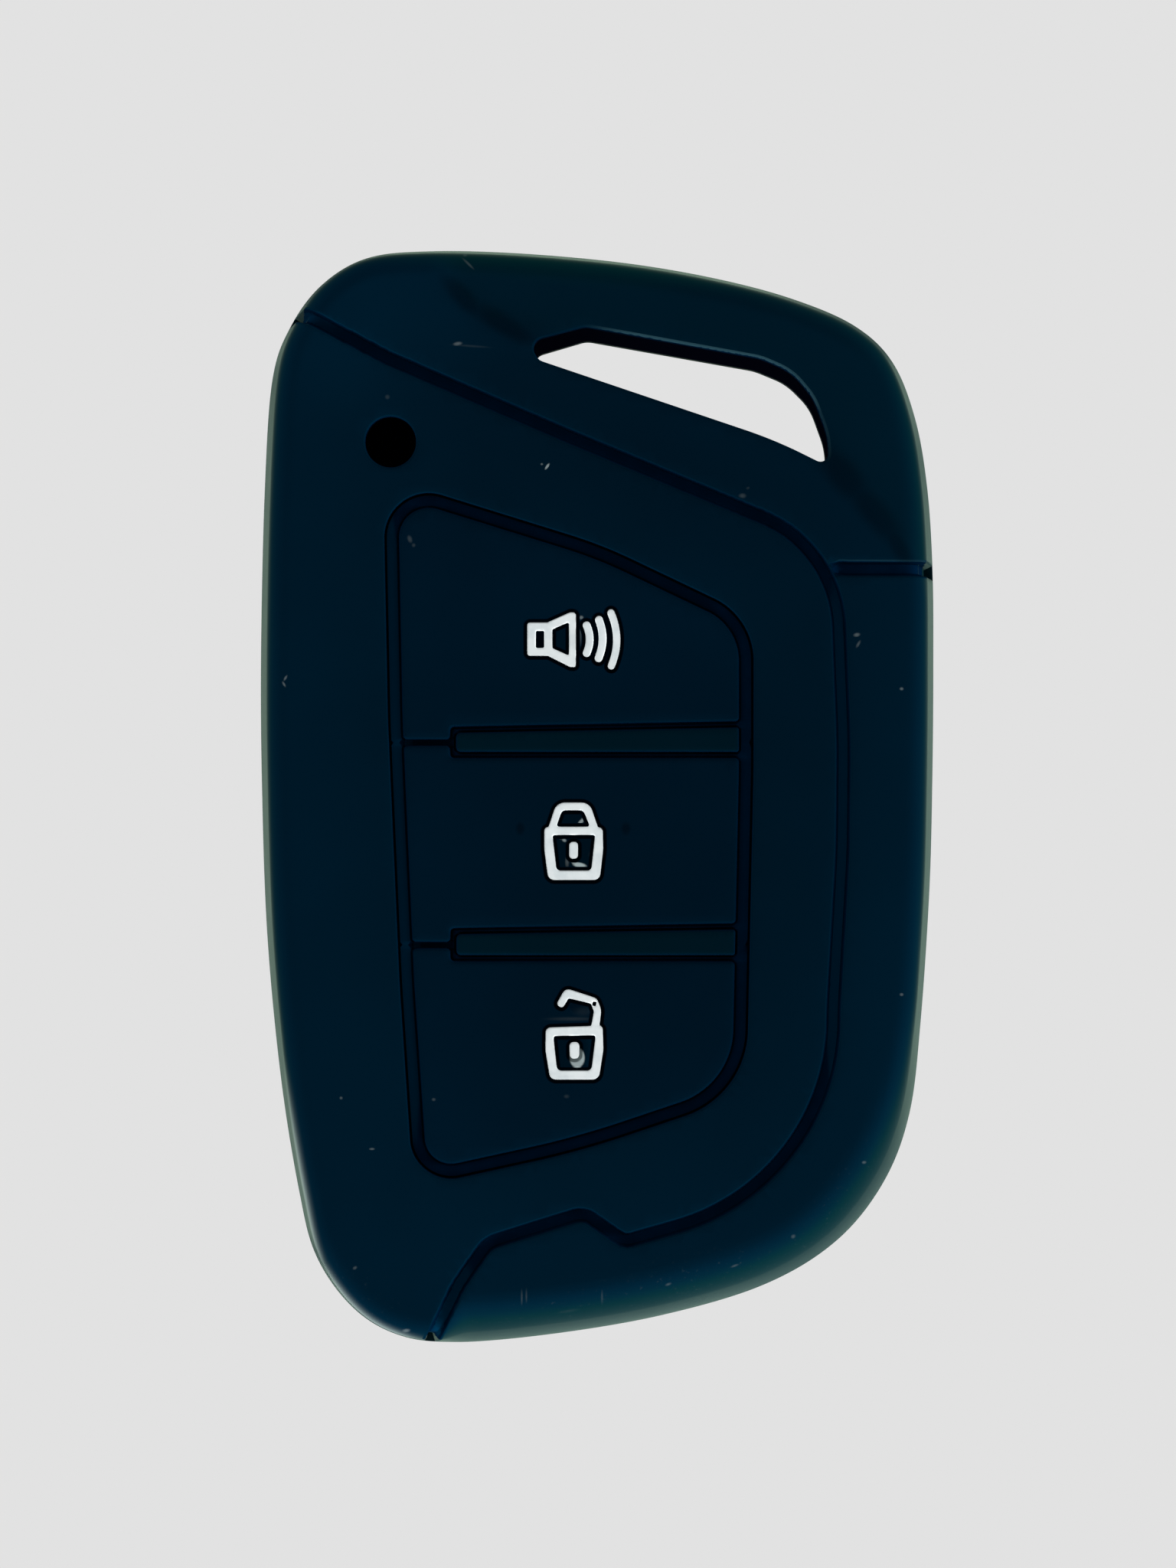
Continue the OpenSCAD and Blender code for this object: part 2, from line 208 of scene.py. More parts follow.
OUTLINE = catmull([
    (22.2, 2), (22.25, 9), (22.2, 15), (21.85, 20.4), (21.05, 25), (19.55, 28.75), (17.05, 31.15),
    (13.05, 32.9), (8.05, 34.25), (2, 35.3), (-5, 35.95), (-11, 36.1), (-15.2, 35.65), (-18.2, 33.9),
    (-20.3, 31.1), (-21.5, 27.6), (-22, 20.5), (-22.25, 10), (-22.2, 1), (-21.85, -9),
    (-20.95, -18.5), (-19.75, -26), (-18.6, -30.4), (-16.25, -33.75), (-13.25, -35.6), (-9.5, -36.1),
    (-3, -35.55), (4.3, -34.3), (11, -32.3), (15.75, -29.45), (18.9, -25.6), (20.65, -21.05),
    (21.4, -15), (22, -6)], 12)
RING = spaced(rounded([
    (-13.4, 20.1, 2.4), (-13.1, 5, 80), (-12.35, -12, 80), (-11.5, -24.75, 2.2), (-1.2, -22.5, 60),
    (9.2, -19, 5.5), (9.65, 2, 80), (9.65, 11.35, 4), (0.1, 15.9, 30)]), 0.35)
PANEL_OPEN = shifted(RING, -GROOVE_W / 2)
PANEL_IN = shifted(RING, GROOVE_W / 2)
LONG_GROOVE = rounded([
    (-23, 31.45, 0), (-18.9, 31.25, 3), (-13.6, 28.45, 9), (-2.05, 23.45, 60), (15.45, 16.15, 8),
    (15.95, 3.5, 60), (15.88, -3.5, 60), (15.3, -13.5, 40), (15.05, -25, 14), (1.75, -28.8, 0.9), (-0.9, -26.95, 1.3),
    (-7.1, -28.9, 1.8), (-9, -31.6, 6), (-12.3, -38.5, 0)], closed=False)
SHORT_GROOVE = np.array([(15.65, 14.8), (24.0, 14.75)])


SLOT_FRONT = spaced(rounded([
    (-4.5, 29.5, 0.7), (-3.8, 28.3, 0.7), (11.5, 23.13, 30), (14.95, 21.42, 0.5), (14.95, 23.3, 5), (14.0, 25.85, 4),
    (12.6, 27.55, 4), (10.6, 28.42, 4), (-0.8, 30.48, 1.6)], 0.12), 0.25)
SLOT_BACK = spaced(rounded([
    (-4.5, 29.5, 0.7), (-3.8, 28.3, 0.7), (11.5, 23.13, 30), (15.4, 21.2, 0.5), (15.3, 23.4, 5), (14.3, 26.15, 4),
    (12.7, 27.75, 4), (10.6, 28.62, 4), (-0.7, 30.62, 1.6)], 0.12), 0.25)
LED_RIM = np.array([(LED[0] + LED[2] * math.cos(a), LED[1] + LED[2] * math.sin(a))
                    for a in np.linspace(0, 2 * math.pi, 64, endpoint=False)])
WINDOW = spaced(rounded([(-14.5, 15.5, 6), (-14.5, -25.5, 6), (12.5, -25.5, 6), (12.5, 15.5, 6)], 0.3), 0.6)

# ------------------------------------------------------------------ the moulded skin's outer form


def profile_table(a, h, power, n=600):
    """Arc length, inset and height along a quarter of a rounding, from the parting line."""
    t = np.linspace(0, math.pi / 2, n)
    d = a * (1 - np.cos(t) ** (2 / power))
    z = h * np.sin(t) ** (2 / power)
    s = np.r_[0, np.cumsum(np.hypot(np.diff(d), np.diff(z)))]
    return s, d, z


def front_curve(w, n=400):
    """Inset and height from the parting line up: drafted wall and tight edge at w = 0, one large rounding at w = 1."""
    h, c = COVER_T - PART_Z, EDGE_ROUND
    q = np.linspace(0, 1, n)
    t = np.clip((q - 0.25) / 0.75, 0, 1)
    P0, P1, P2 = (DRAFT_SIDE * (h - c), h - c), (DRAFT_SIDE * h, h), (DRAFT_SIDE * h + 0.93 * c, h)
    wall = np.minimum(q / 0.25, 1)
    d, z = ((1 - t) ** 2 * P0[k] * wall + 2 * t * (1 - t) * P1[k] + t * t * P2[k] for k in (0, 1))
    r, c = FRONT_ROUND, FOOT_EDGE
    d2 = (1 - t) ** 2 * 0.32 * r * (0.25 * wall + 0.75 * wall ** 2) + 2 * t * (1 - t) * 0.6 * r + t * t * r
    z2 = (1 - t) ** 2 * (h - c) * wall + 2 * t * (1 - t) * h + t * t * h
    d, z = (1 - w) * d + w * d2, (1 - w) * z + w * z2
    s = np.r_[0, np.cumsum(np.hypot(np.diff(d), np.diff(z)))]
    k = np.linspace(0, s[-1], n)
    return np.interp(k, s, d), np.interp(k, s, z)


F_W = np.linspace(0, 1, 17)
F_TAB = np.array([front_curve(w) for w in F_W])      # w, (inset, height), place along the curve
F_OUT = 6.4                                          # how far the unrolled skin reaches beyond the outline
F_LEN = F_OUT + FRONT_ROUND


def foot_share(P):
    """How much of the large foot rounding a place on the outline has."""
    x, y = P[:, 0], P[:, 1]
    return smooth((x + 10.6) / 2.4) * smooth((-13.0 - y) / 15.0)


def folded(u, w):
    """Inset and height of a place on the unrolled skin, from its inset there."""
    reach = (1 - w) * F_TAB[0, 0, -1] + w * F_TAB[-1, 0, -1]
    n = F_TAB.shape[2] - 1
    s = np.clip((u + F_OUT) / (reach + F_OUT), 0, 1) * n
    j = np.minimum(s.astype(int), n - 1)
    fs = s - j
    i = np.minimum((w * (len(F_W) - 1)).astype(int), len(F_W) - 2)
    fw = w * (len(F_W) - 1) - i
    v = [(1 - fw) * ((1 - fs) * F_TAB[i, k, j] + fs * F_TAB[i, k, j + 1]) +
         fw * ((1 - fs) * F_TAB[i + 1, k, j] + fs * F_TAB[i + 1, k, j + 1]) for k in (0, 1)]
    flat = u >= reach
    return np.where(flat, u, v[0]), np.where(flat, COVER_T - PART_Z, v[1])


OUT_N = normals(OUTLINE)


def foot_of(Q):
    """Nearest outline point, inward normal there and signed inset of each point."""
    u, foot, seg, par = distance(Q, OUTLINE, signed=True)
    n = OUT_N[seg] * (1 - par)[:, None] + np.roll(OUT_N, -1, 0)[seg] * par[:, None]
    n = n / np.linalg.norm(n, axis=1)[:, None]
    return foot, n, u


def unrolled(p):
    """Where plan points lie on the unrolled front skin."""
    foot, n, d = foot_of(np.atleast_2d(p))
    w = foot_share(foot)
    lo, hi = np.full(len(d), -F_OUT), np.full(len(d), FRONT_ROUND + 0.1)
    for _ in range(40):
        mid = (lo + hi) / 2
        below = folded(mid, w)[0] < d
        lo, hi = np.where(below, mid, lo), np.where(below, hi, mid)
    u = np.where(d < FRONT_ROUND, (lo + hi) / 2, d)
    return foot + n * u[:, None]


def unrolled_path(P, start_out=False, end_out=False):
    """A plan path on the unrolled skin, led straight over the side to the parting line at its open ends."""
    P = spaced(P, 0.1, closed=False)
    foot, n, d = foot_of(P)
    keep = d > 0.03
    i0, i1 = np.flatnonzero(keep)[[0, -1]]
    Q = unrolled(P[i0:i1 + 1])
    if start_out:
        f, m, u = foot_of(Q[:1])
        k = np.arange(-F_OUT - 0.3, u[0] - 0.3, 0.3)
        Q = np.vstack([f + m * k[:, None], Q])
    if end_out:
        f, m, u = foot_of(Q[-1:])
        k = np.arange(-F_OUT - 0.3, u[0] - 0.3, 0.3)[::-1]
        Q = np.vstack([Q, f + m * k[:, None]])
    # even spacing, then a light smoothing of the bend where it goes over the side
    s = np.r_[0, np.cumsum(np.linalg.norm(np.diff(Q, axis=0), axis=1))]
    t = np.linspace(0, s[-1], int(s[-1] / 0.3))
    Q = np.c_[np.interp(t, s, Q[:, 0]), np.interp(t, s, Q[:, 1])]
    _, _, u = foot_of(Q)
    for _ in range(12):
        R = Q.copy()
        R[1:-1] = (Q[:-2] + 2 * Q[1:-1] + Q[2:]) / 4
        w = smooth((3.0 - u) / 2.0)[:, None]
        Q = Q * (1 - w) + R * w
    return Q


LONG_D = unrolled_path(LONG_GROOVE, True, True)
SHORT_D = unrolled_path(SHORT_GROOVE, False, True)

LIP = 0.12          # rounding of the grooves' upper edges
FLOOR = 0.12        # rounding at the grooves' floor
DRAFT = 0.15        # how far the grooves' walls lean outwards


def groove_depth(r, depth=GROOVE_D, hw=GROOVE_W / 2, lip=LIP, floor=FLOOR, draft=DRAFT):
    r = np.abs(r)
    out = np.zeros_like(r)
    m = (r < hw + lip) & (r >= hw)
    out[m] = lip - np.sqrt(np.maximum(lip ** 2 - (hw + lip - r[m]) ** 2, 0))
    m = (r < hw) & (r >= hw - draft)
    out[m] = lip + (depth - lip - floor) * (hw - r[m]) / draft
    m = (r < hw - draft) & (r >= hw - draft - floor)
    x = (hw - draft - r[m]) / floor
    out[m] = depth - floor + floor * np.sqrt(np.maximum(1 - (1 - x) ** 2, 0))
    out[r < hw - draft - floor] = depth
    return out


GROOVE_LINES = [GROOVE_W / 2 + LIP * k for k in (1, 0.62, 0.29, 0.08, 0)] + \
               [GROOVE_W / 2 - DRAFT * 0.5] + [GROOVE_W / 2 - DRAFT - FLOOR * k for k in (0, 0.29, 1)]


def lip_depth(r, f):
    """Rounding of radius f along an edge, from the distance to it."""
    x = np.clip(f - r, 0, f)
    return f - np.sqrt(np.maximum(f * f - x * x, 0))


SLOT_LIP, LED_LIP, PANEL_LIP = 0.2, 0.16, 0.14


def lip_lines(f):
    return [f, 0.62 * f, 0.29 * f, 0.08 * f]


# The key-ring end is a little thinner than the rest: a soft step runs down to both tips of the slot
STEP_LINE = spaced(rounded([
    (-13.0, 35.5, 0), (-10.0, 32.7, 4), (-7.7, 30.8, 6), (-4.6, 29.4, 3), (6, 27.2, 0.1), (14.0, 21.5, 1),
    (15.6, 20.3, 2), (17.6, 17.4, 5), (19.6, 14.4, 5), (23, 11.2, 0)], closed=False), 0.5, closed=False)


def step_depth(Q):
    d, _, _, _ = distance(Q, STEP_LINE, closed=False, signed=True)
    s = smooth(d / (1.1 + 0.9 * smooth((Q[:, 0] - 4) / 10)))
    fade = smooth((Q[:, 0] + 11.0) / 2.2)
    return 0.3 * s * fade


# ------------------------------------------------------------------ meshes


def triangulate(loops, holes, lines, free, clear=0.5):
    """Constrained triangles over a plane region: loops bound it, holes are left out, lines run through it, free points fill it.
    Points of free too close to any line go. Returns points and triangles, counter-clockwise."""
    pts, edges = [], []
    loops, holes = ([np.float32(P).astype(float) for P in part] for part in (loops, holes))

    def add(P, closed):
        base = len(pts)
        pts.extend(map(tuple, P))
        n = len(P)
        edges.extend((base + i, base + (i + 1) % n) for i in range(n if closed else n - 1))

    for P in loops + holes:
        add(P, True)
    for P, closed in lines:
        add(P, closed)
    fixed = np.array(pts)
    if len(free):
        tree = KDTree(len(fixed))
        for i, p in enumerate(fixed):
            tree.insert((p[0], p[1], 0), i)
        tree.balance()
        near = np.array([tree.find((p[0], p[1], 0))[2] for p in free])
        pts.extend(map(tuple, free[near > clear]))
    out = delaunay_2d_cdt([Vector(p) for p in pts], edges, [], 0, 1e-5, False)
    V = np.array([(v[0], v[1]) for v in out[0]])
    T = np.array([f for f in out[2] if len(f) == 3], int)
    C = V[T].mean(1)
    ok = inside(C, loops[0])
    for P in loops[1:]:
        ok |= inside(C, P)
    for P in holes:
        ok &= ~inside(C, P)
    T = T[ok]
    a, b, c = V[T[:, 0]], V[T[:, 1]], V[T[:, 2]]
    area = (b[:, 0] - a[:, 0]) * (c[:, 1] - a[:, 1]) - (b[:, 1] - a[:, 1]) * (c[:, 0] - a[:, 0])
    T = T[np.abs(area) > 1e-9]
    area = area[np.abs(area) > 1e-9]
    T[area < 0] = T[area < 0][:, ::-1]
    used = np.unique(T)
    new = np.full(len(V), -1)
    new[used] = np.arange(len(used))
    return V[used], new[T]


def filler(lo, hi, step):
    """A staggered grid of points."""
    xs = np.arange(lo[0], hi[0], step)
    out = []
    for j, y in enumerate(np.arange(lo[1], hi[1], step * 0.866)):
        out.append(np.c_[xs + (step / 2 if j % 2 else 0), np.full(len(xs), y)])
    return np.vstack(out)


class Build:
    """Gathers vertices and faces, then welds them into one mesh."""

    def __init__(self):
        self.v, self.f, self.n = [], [], 0

    def add(self, V, F):
        base = self.n
        self.v.append(np.asarray(V, float))
        self.f.extend([tuple(int(i) + base for i in f) for f in F])
        self.n += len(V)
        return base

    def sheet(self, V, T, up=True):
        self.add(V, T if up else T[:, ::-1])

    def band(self, A, B, closed=True):
        """Quads between two rows of equal length; they face right of A's direction when B is above A."""
        n = len(A)
        m = n if closed else n - 1
        F = [(i, (i + 1) % n, n + (i + 1) % n, n + i) for i in range(m)]
        self.add(np.vstack([A, B]), F)

    def finish(self, name, weld=1e-3, angle=40):
        V = np.vstack(self.v) * MM
        mesh = bpy.data.meshes.new(name)
        mesh.from_pydata([tuple(v) for v in V], [], self.f)
        mesh.update()
        import bmesh
        bm = bmesh.new()
        bm.from_mesh(mesh)
        bmesh.ops.remove_doubles(bm, verts=bm.verts, dist=weld * MM)
        bmesh.ops.dissolve_degenerate(bm, dist=1e-8, edges=bm.edges)
        bmesh.ops.recalc_face_normals(bm, faces=bm.faces)
        open_edges = sum(1 for e in bm.edges if len(e.link_faces) != 2)
        bm.to_mesh(mesh)
        bm.free()
        mesh.shade_smooth()
        mesh.set_sharp_from_angle(angle=math.radians(angle))
        obj = bpy.data.objects.new(name, mesh)
        bpy.context.scene.collection.objects.link(obj)
        print(f"{name}: {len(mesh.vertices)} vertices, {len(mesh.polygons)} faces, {open_edges} open edges")
        return obj


def at(P, z):
    P = np.asarray(P, float)
    return np.c_[P, np.full(len(P), z) if np.isscalar(z) else z]


def build_skin():
    b = Build()
    # --- outer sheet of the button side, made flat on the unrolled skin and then folded over the edge
    near = np.array([(-19.8, 31.3), (22.1, 14.75), (-10.9, -36.0)])
    rim = []
    for i in range(len(OUTLINE)):          # finer along the rim where a groove runs out over it
        p, q = OUTLINE[i], OUTLINE[(i + 1) % len(OUTLINE)]
        d = np.linalg.norm(near - (p + q) / 2, axis=1).min()
        k = 5 if d < 1.6 else 1
        rim += [p + (q - p) * j / k for j in range(k)]
    rim = np.array(rim)
    rim_n = foot_of(rim)[1]
    edge = rim - rim_n * F_OUT
    loops = [edge]
    holes = [SLOT_FRONT, LED_RIM, PANEL_OPEN]
    lines = []
    for P in (LONG_D, SHORT_D):
        for r in GROOVE_LINES:
            for side in (1, -1):
                Q = shifted(P, side * r, closed=False)
                ok = foot_of(Q)[2] > -F_OUT + 0.04
                i = np.flatnonzero(ok)
                lines.append((Q[i[0]:i[-1] + 1], False))
        lines.append((P[foot_of(P)[2] > -F_OUT + 0.04], False))
    # the short groove's lines begin where its path begins, just beside the long one
    for f, hole in ((SLOT_LIP, SLOT_FRONT), (LED_LIP, LED_RIM), (PANEL_LIP, PANEL_OPEN)):
        for r in lip_lines(f):
            lines.append((shifted(hole, -r), True))
    free = []
    rows = [0.08, 0.16, 0.26, 0.5]
    while rows[-1] < F_LEN + 0.3:
        k = rows[-1] - F_OUT
        rows.append(rows[-1] + (0.15 if -0.5 < k < 1.4 else 0.25 if -0.8 < k < 2.4 else 0.5))
    for s in rows:
        free.append(rim + rim_n * (s - F_OUT))
    inner = filler((-21, -35), (21, 35), 0.85)
    free.append(inner[foot_of(inner)[2] > FRONT_ROUND + 0.6])
    V, T = triangulate(loops, holes, lines, np.vstack(free), clear=0.1)
    foot, n, u = foot_of(V)
    w = foot_share(foot)
    d, z = folded(u, w)
    (d0, z0), (d1, z1) = folded(np.maximum(u - 0.03, -F_OUT), w), folded(u + 0.03, w)
    tl = np.hypot(d1 - d0, z1 - z0)
    flat = u >= FRONT_ROUND - 1e-6
    td, tz = np.where(flat, 1, (d1 - d0) / np.maximum(tl, 1e-9)), np.where(flat, 0, (z1 - z0) / np.maximum(tl, 1e-9))
    base = np.where(flat[:, None], V, foot + n * d[:, None])
    step = step_depth(V)
    z = np.where(flat, COVER_T - step, PART_Z + z * (1 - step / (COVER_T - PART_Z)))
    nor = np.c_[-n * tz[:, None], td]
    nor[flat] = (0, 0, 1)
    r_long, r_short = distance(V, LONG_D, closed=False), distance(V, SHORT_D, closed=False)
    depth = np.maximum(groove_depth(r_long), groove_depth(r_short))
    depth += lip_depth(distance(V, SLOT_FRONT), SLOT_LIP)
    depth += lip_depth(distance(V, LED_RIM), LED_LIP)
    depth += lip_depth(distance(V, PANEL_OPEN), PANEL_LIP)
    # the halves of the mould were a little out of line: the back half's rim stands proud at the left and at the foot
    proud = 0.13 * smooth((n @ np.array([0.86, 0.5]) + 0.1) / 0.9)
    depth += proud * (1 - smooth((u + F_OUT) / 0.24))
    front = np.c_[base, z] - nor * depth[:, None]
    b.sheet(front, T)
    tree = KDTree(len(V))
    for i, p in enumerate(V):
        tree.insert((p[0], p[1], 0), i)
    tree.balance()

    def on_front(P):
        return front[[tree.find((p[0], p[1], 0))[1] for p in P]]

    # --- parting line, then the outer side of the back half
    top = on_front(edge)
    rows = [at(rim + rim_n * 0.03, PART_Z - 0.005), at(rim + rim_n * 0.008, PART_Z - 0.03), at(rim, PART_Z - 0.08)]
    s, d, z = profile_table(BACK_ROUND, PART_Z, POWER_BACK)
    for k in np.linspace(0.35, s[-1], 16):
        rows.append(at(rim + rim_n * np.interp(k, s, d), PART_Z - np.interp(k, s, z)))
    for hi, lo in zip([top] + rows[:-1], rows):
        b.band(lo, hi)
    last = rows[-1][:, :2]
    inner = filler((-21, -35), (21, 35), 1.4)
    lines = [(shifted(P, -r), True) for P in (SLOT_BACK, WINDOW) for r in lip_lines(0.3)]
    V, T = triangulate([last], [SLOT_BACK, WINDOW], lines, inner[inside(inner, shifted(last, 0.6))], clear=0.5)
    zb = lip_depth(distance(V, SLOT_BACK), 0.3) + lip_depth(distance(V, WINDOW), 0.3)
    b.sheet(at(V, zb), T, up=False)

    # --- inner side, front and back, with the same rows round the rim
    a_in = 3.0
    s1, d1, z1 = profile_table(a_in, COVER_T - PART_Z - WALL, 2.4)
    s2, d2, z2 = profile_table(2.7, PART_Z - WALL, POWER_BACK)
    rows = [at(rim + rim_n * (WALL + np.interp(k, s1, d1)), PART_Z + np.interp(k, s1, z1)) for k in np.linspace(s1[-1], 0, 9)]
    rows += [at(rim + rim_n * (WALL + np.interp(k, s2, d2)), PART_Z - np.interp(k, s2, z2)) for k in np.linspace(0, s2[-1], 8)[1:]]
    for hi, lo in zip(rows[:-1], rows[1:]):
        b.band(hi, lo)
    up, down = rows[0][:, :2], rows[-1][:, :2]
    zi = COVER_T - WALL
    V, T = triangulate([up], [SLOT_FRONT, LED_RIM, PANEL_OPEN], [], inner[inside(inner, shifted(up, 0.6))], clear=0.5)
    b.sheet(at(V, zi), T, up=False)
    V, T = triangulate([down], [SLOT_BACK, WINDOW], [], inner[inside(inner, shifted(down, 0.6))], clear=0.5)
    b.sheet(at(V, WALL), T)

    # --- walls of the openings
    for hole in (SLOT_FRONT, LED_RIM, PANEL_OPEN):
        b.band(on_front(hole), at(hole, zi))
    b.band(at(SLOT_BACK, WALL), at(SLOT_BACK, 0.3))
    b.band(at(WINDOW, WALL), at(WINDOW, 0.3))
    return b.finish("cover_skin")


# ------------------------------------------------------------------ buttons

BAR_1 = dict(x=-9.35, tl=4.35, tr=4.75, b=2.72, neck=3.52)
BAR_2 = dict(x=-9.33, tl=-8.7, tr=-8.35, b=-10.45, neck=-9.6)
FAR = 12.0


def bar_top(bar, x):
    return bar["tl"] + (bar["tr"] - bar["tl"]) * (x - bar["x"]) / (FAR - bar["x"])


def panel_at(y, right, P=PANEL_IN):
    """Where the panel's edge crosses a height, on its right or left side."""
    got = []
    for i in range(len(P)):
        (x0, y0), (x1, y1) = P[i], P[(i + 1) % len(P)]
        if (y0 > y) != (y1 > y):
            got.append(x0 + (x1 - x0) * (y - y0) / (y1 - y0))
    return max(got) if right else min(got)


def along(P, a, b, trim=0.6):
    """The part of a closed counter-clockwise line from a to b, less a little at both ends."""
    ia = int(np.linalg.norm(P - a, axis=1).argmin())
    ib = int(np.linalg.norm(P - b, axis=1).argmin())
    n = len(P)
    k = (ib - ia) % n
    Q = np.array([P[(ia + j) % n] for j in range(k + 1)])
    ok = (np.linalg.norm(Q - a, axis=1) > trim) & (np.linalg.norm(Q - b, axis=1) > trim)
    return [tuple(q) + (0,) for q in Q[ok]]


def pad_outlines(g=FINE, P=PANEL_IN, r=0.28):
    """Closed outlines of the three pads, counter-clockwise, g away from the fine grooves' middle lines."""
    out = []
    y = bar_top(BAR_1, 9.4) + g
    a = (panel_at(y, True, P), y)
    b = (panel_at(BAR_1["neck"] + g, False, P), BAR_1["neck"] + g)
    out.append([a + (r,)] + along(P, a, b) + [b + (r,), (BAR_1["x"] - g, b[1], r),
               (BAR_1["x"] - g, bar_top(BAR_1, BAR_1["x"] - g) + g, 0.25)])
    y2 = bar_top(BAR_2, 9.3) + g
    a = (panel_at(y2, True, P), y2)
    y1 = BAR_1["b"] - g
    c = (panel_at(y1, True, P), y1)
    n1, n2 = BAR_1["neck"] - g, BAR_2["neck"] + g
    e, f = (panel_at(n1, False, P), n1), (panel_at(n2, False, P), n2)
    out.append([a + (r,)] + along(P, a, c) + [c + (r,), (BAR_1["x"] - g, y1, 0.25), (BAR_1["x"] - g, n1, r), e + (r,)] +
               along(P, e, f) + [f + (r,), (BAR_2["x"] - g, n2, r), (BAR_2["x"] - g, bar_top(BAR_2, BAR_2["x"] - g) + g, 0.25)])
    y3 = BAR_2["b"] - g
    a = (panel_at(y3, True, P), y3)
    n3 = BAR_2["neck"] - g
    e = (panel_at(n3, False, P), n3)
    out.append([a + (r,), (BAR_2["x"] - g, y3, 0.25), (BAR_2["x"] - g, n3, r), e + (r,)] + along(P, e, a))
    return [spaced(rounded(o, 0.12), 0.35) for o in out]


def bar_outline(bar, g=FINE):
    yt = bar_top(bar, 9.3) - g
    return spaced(rounded([
        (bar["x"] + g, bar["b"] + g, 0.3), (panel_at(bar["b"] + g, True), bar["b"] + g, 0.18),
        (panel_at(yt, True), yt, 0.18), (bar["x"] + g, bar_top(bar, bar["x"]) - g, 0.3)], 0.08), 0.3)


PADS = dict(zip(("horn", "lock", "unlock"), pad_outlines()))
BARS = dict(upper=bar_outline(BAR_1), lower=bar_outline(BAR_2))

INK_W = 0.53


def stroke(P, w=INK_W, ends=True):
    """Outline of a line drawn w wide, with round ends."""
    P = np.asarray(P, float)
    right, left = shifted(P, -w / 2, False), shifted(P, w / 2, False)

    def cap(c, frm):
        a = math.atan2(*(frm - c)[::-1])
        return [c + w / 2 * np.array([math.cos(a + math.pi * j / 8), math.sin(a + math.pi * j / 8)]) for j in range(1, 8)]

    return np.array(list(right) + cap(P[-1], right[-1]) + list(left[::-1]) + cap(P[0], left[0]))


SPEAKER = rounded([
    (-4.56, 11.31, 0.18), (-4.56, 9.12, 0.2), (-3.2, 9.12, 0.25), (-1.78, 8.4, 0.25),
    (-1.38, 8.38, 0.16), (-1.38, 11.96, 0.2), (-1.78, 11.97, 0.3), (-3.25, 11.31, 0.25)], 0.06)
SPEAKER_BOX = rounded([(-3.98, 10.75, 0.1), (-3.98, 9.66, 0.1), (-3.46, 9.66, 0.1), (-3.46, 10.75, 0.1)], 0.05)
SPEAKER_CONE = rounded([(-2.9, 10.85, 0.08), (-2.9, 9.64, 0.1), (-1.85, 9.17, 0.08), (-1.85, 11.31, 0.08)], 0.05)
WAVES = [rounded(P, 0.15, False) for P in (
    [(-0.7, 11.12, 0), (-0.35, 10.22, 2.1), (-0.7, 9.31, 0)],
    [(0.1, 11.48, 0), (0.52, 10.2, 3.1), (0.07, 8.97, 0)],
    [(0.88, 11.93, 0), (1.56, 10.2, 4.2), (0.9, 8.48, 0)])]
# The padlock as one outline with its two windows, so that the bow and the body join smoothly
LOCK = rounded([
    (-3.45, -1.98, 0.34), (-3.45, -3.4, 2), (-3.19, -5.4, 0.45), (0.16, -5.4, 0.45), (0.39, -3.4, 2), (0.36, -2.0, 0.34),
    (0.05, -1.96, 0.14), (-0.5, -0.35, 0.75), (-2.65, -0.35, 0.75), (-3.17, -1.93, 0.14)], 0.06)
LOCK_BOW = rounded([(-2.65, -1.92, 0.12), (-0.49, -1.92, 0.12), (-0.92, -0.89, 0.28), (-2.28, -0.89, 0.28)], 0.05)
LOCK_HOLE = rounded([(-2.9, -2.48, 0.12), (-2.63, -4.76, 0.25), (-0.41, -4.76, 0.25), (-0.16, -2.48, 0.12)], 0.05)
LOCK_KEY = rounded([(-1.84, -2.9, 0.24), (-1.84, -4.02, 0.24), (-1.24, -4.02, 0.24), (-1.24, -2.9, 0.24)], 0.05)
UNLOCK = rounded([
    (-3.36, -14.93, 0.34), (-3.38, -16.4, 2), (-3.07, -18.33, 0.45), (0.1, -18.33, 0.5), (0.4, -16.4, 2),
    (0.36, -14.9, 0.3), (0.15, -14.8, 0.08), (0.27, -13.8, 0.8), (-0.02, -13.04, 0.5), (-2.08, -12.37, 0.42),
    (-2.7, -13.48, 0.24), (-2.24, -13.72, 0.22), (-1.87, -13.06, 0.12), (-0.42, -13.4, 0.2), (-0.24, -13.9, 0.4),
    (-0.4, -14.83, 0.12)], 0.06)
UNLOCK_HOLE = rounded([(-2.84, -15.5, 0.14), (-2.6, -17.72, 0.28), (-0.4, -17.72, 0.28), (-0.12, -15.46, 0.14)], 0.05)
UNLOCK_CHIP = rounded([(-0.28, -13.26, 0.06), (-0.33, -13.5, 0.06), (-0.12, -13.56, 0.06), (-0.06, -13.3, 0.06)], 0.03)
UNLOCK_KEY = rounded([(-1.83, -15.87, 0.28), (-1.8, -16.98, 0.28), (-1.16, -16.98, 0.3), (-1.14, -15.87, 0.28)], 0.05)

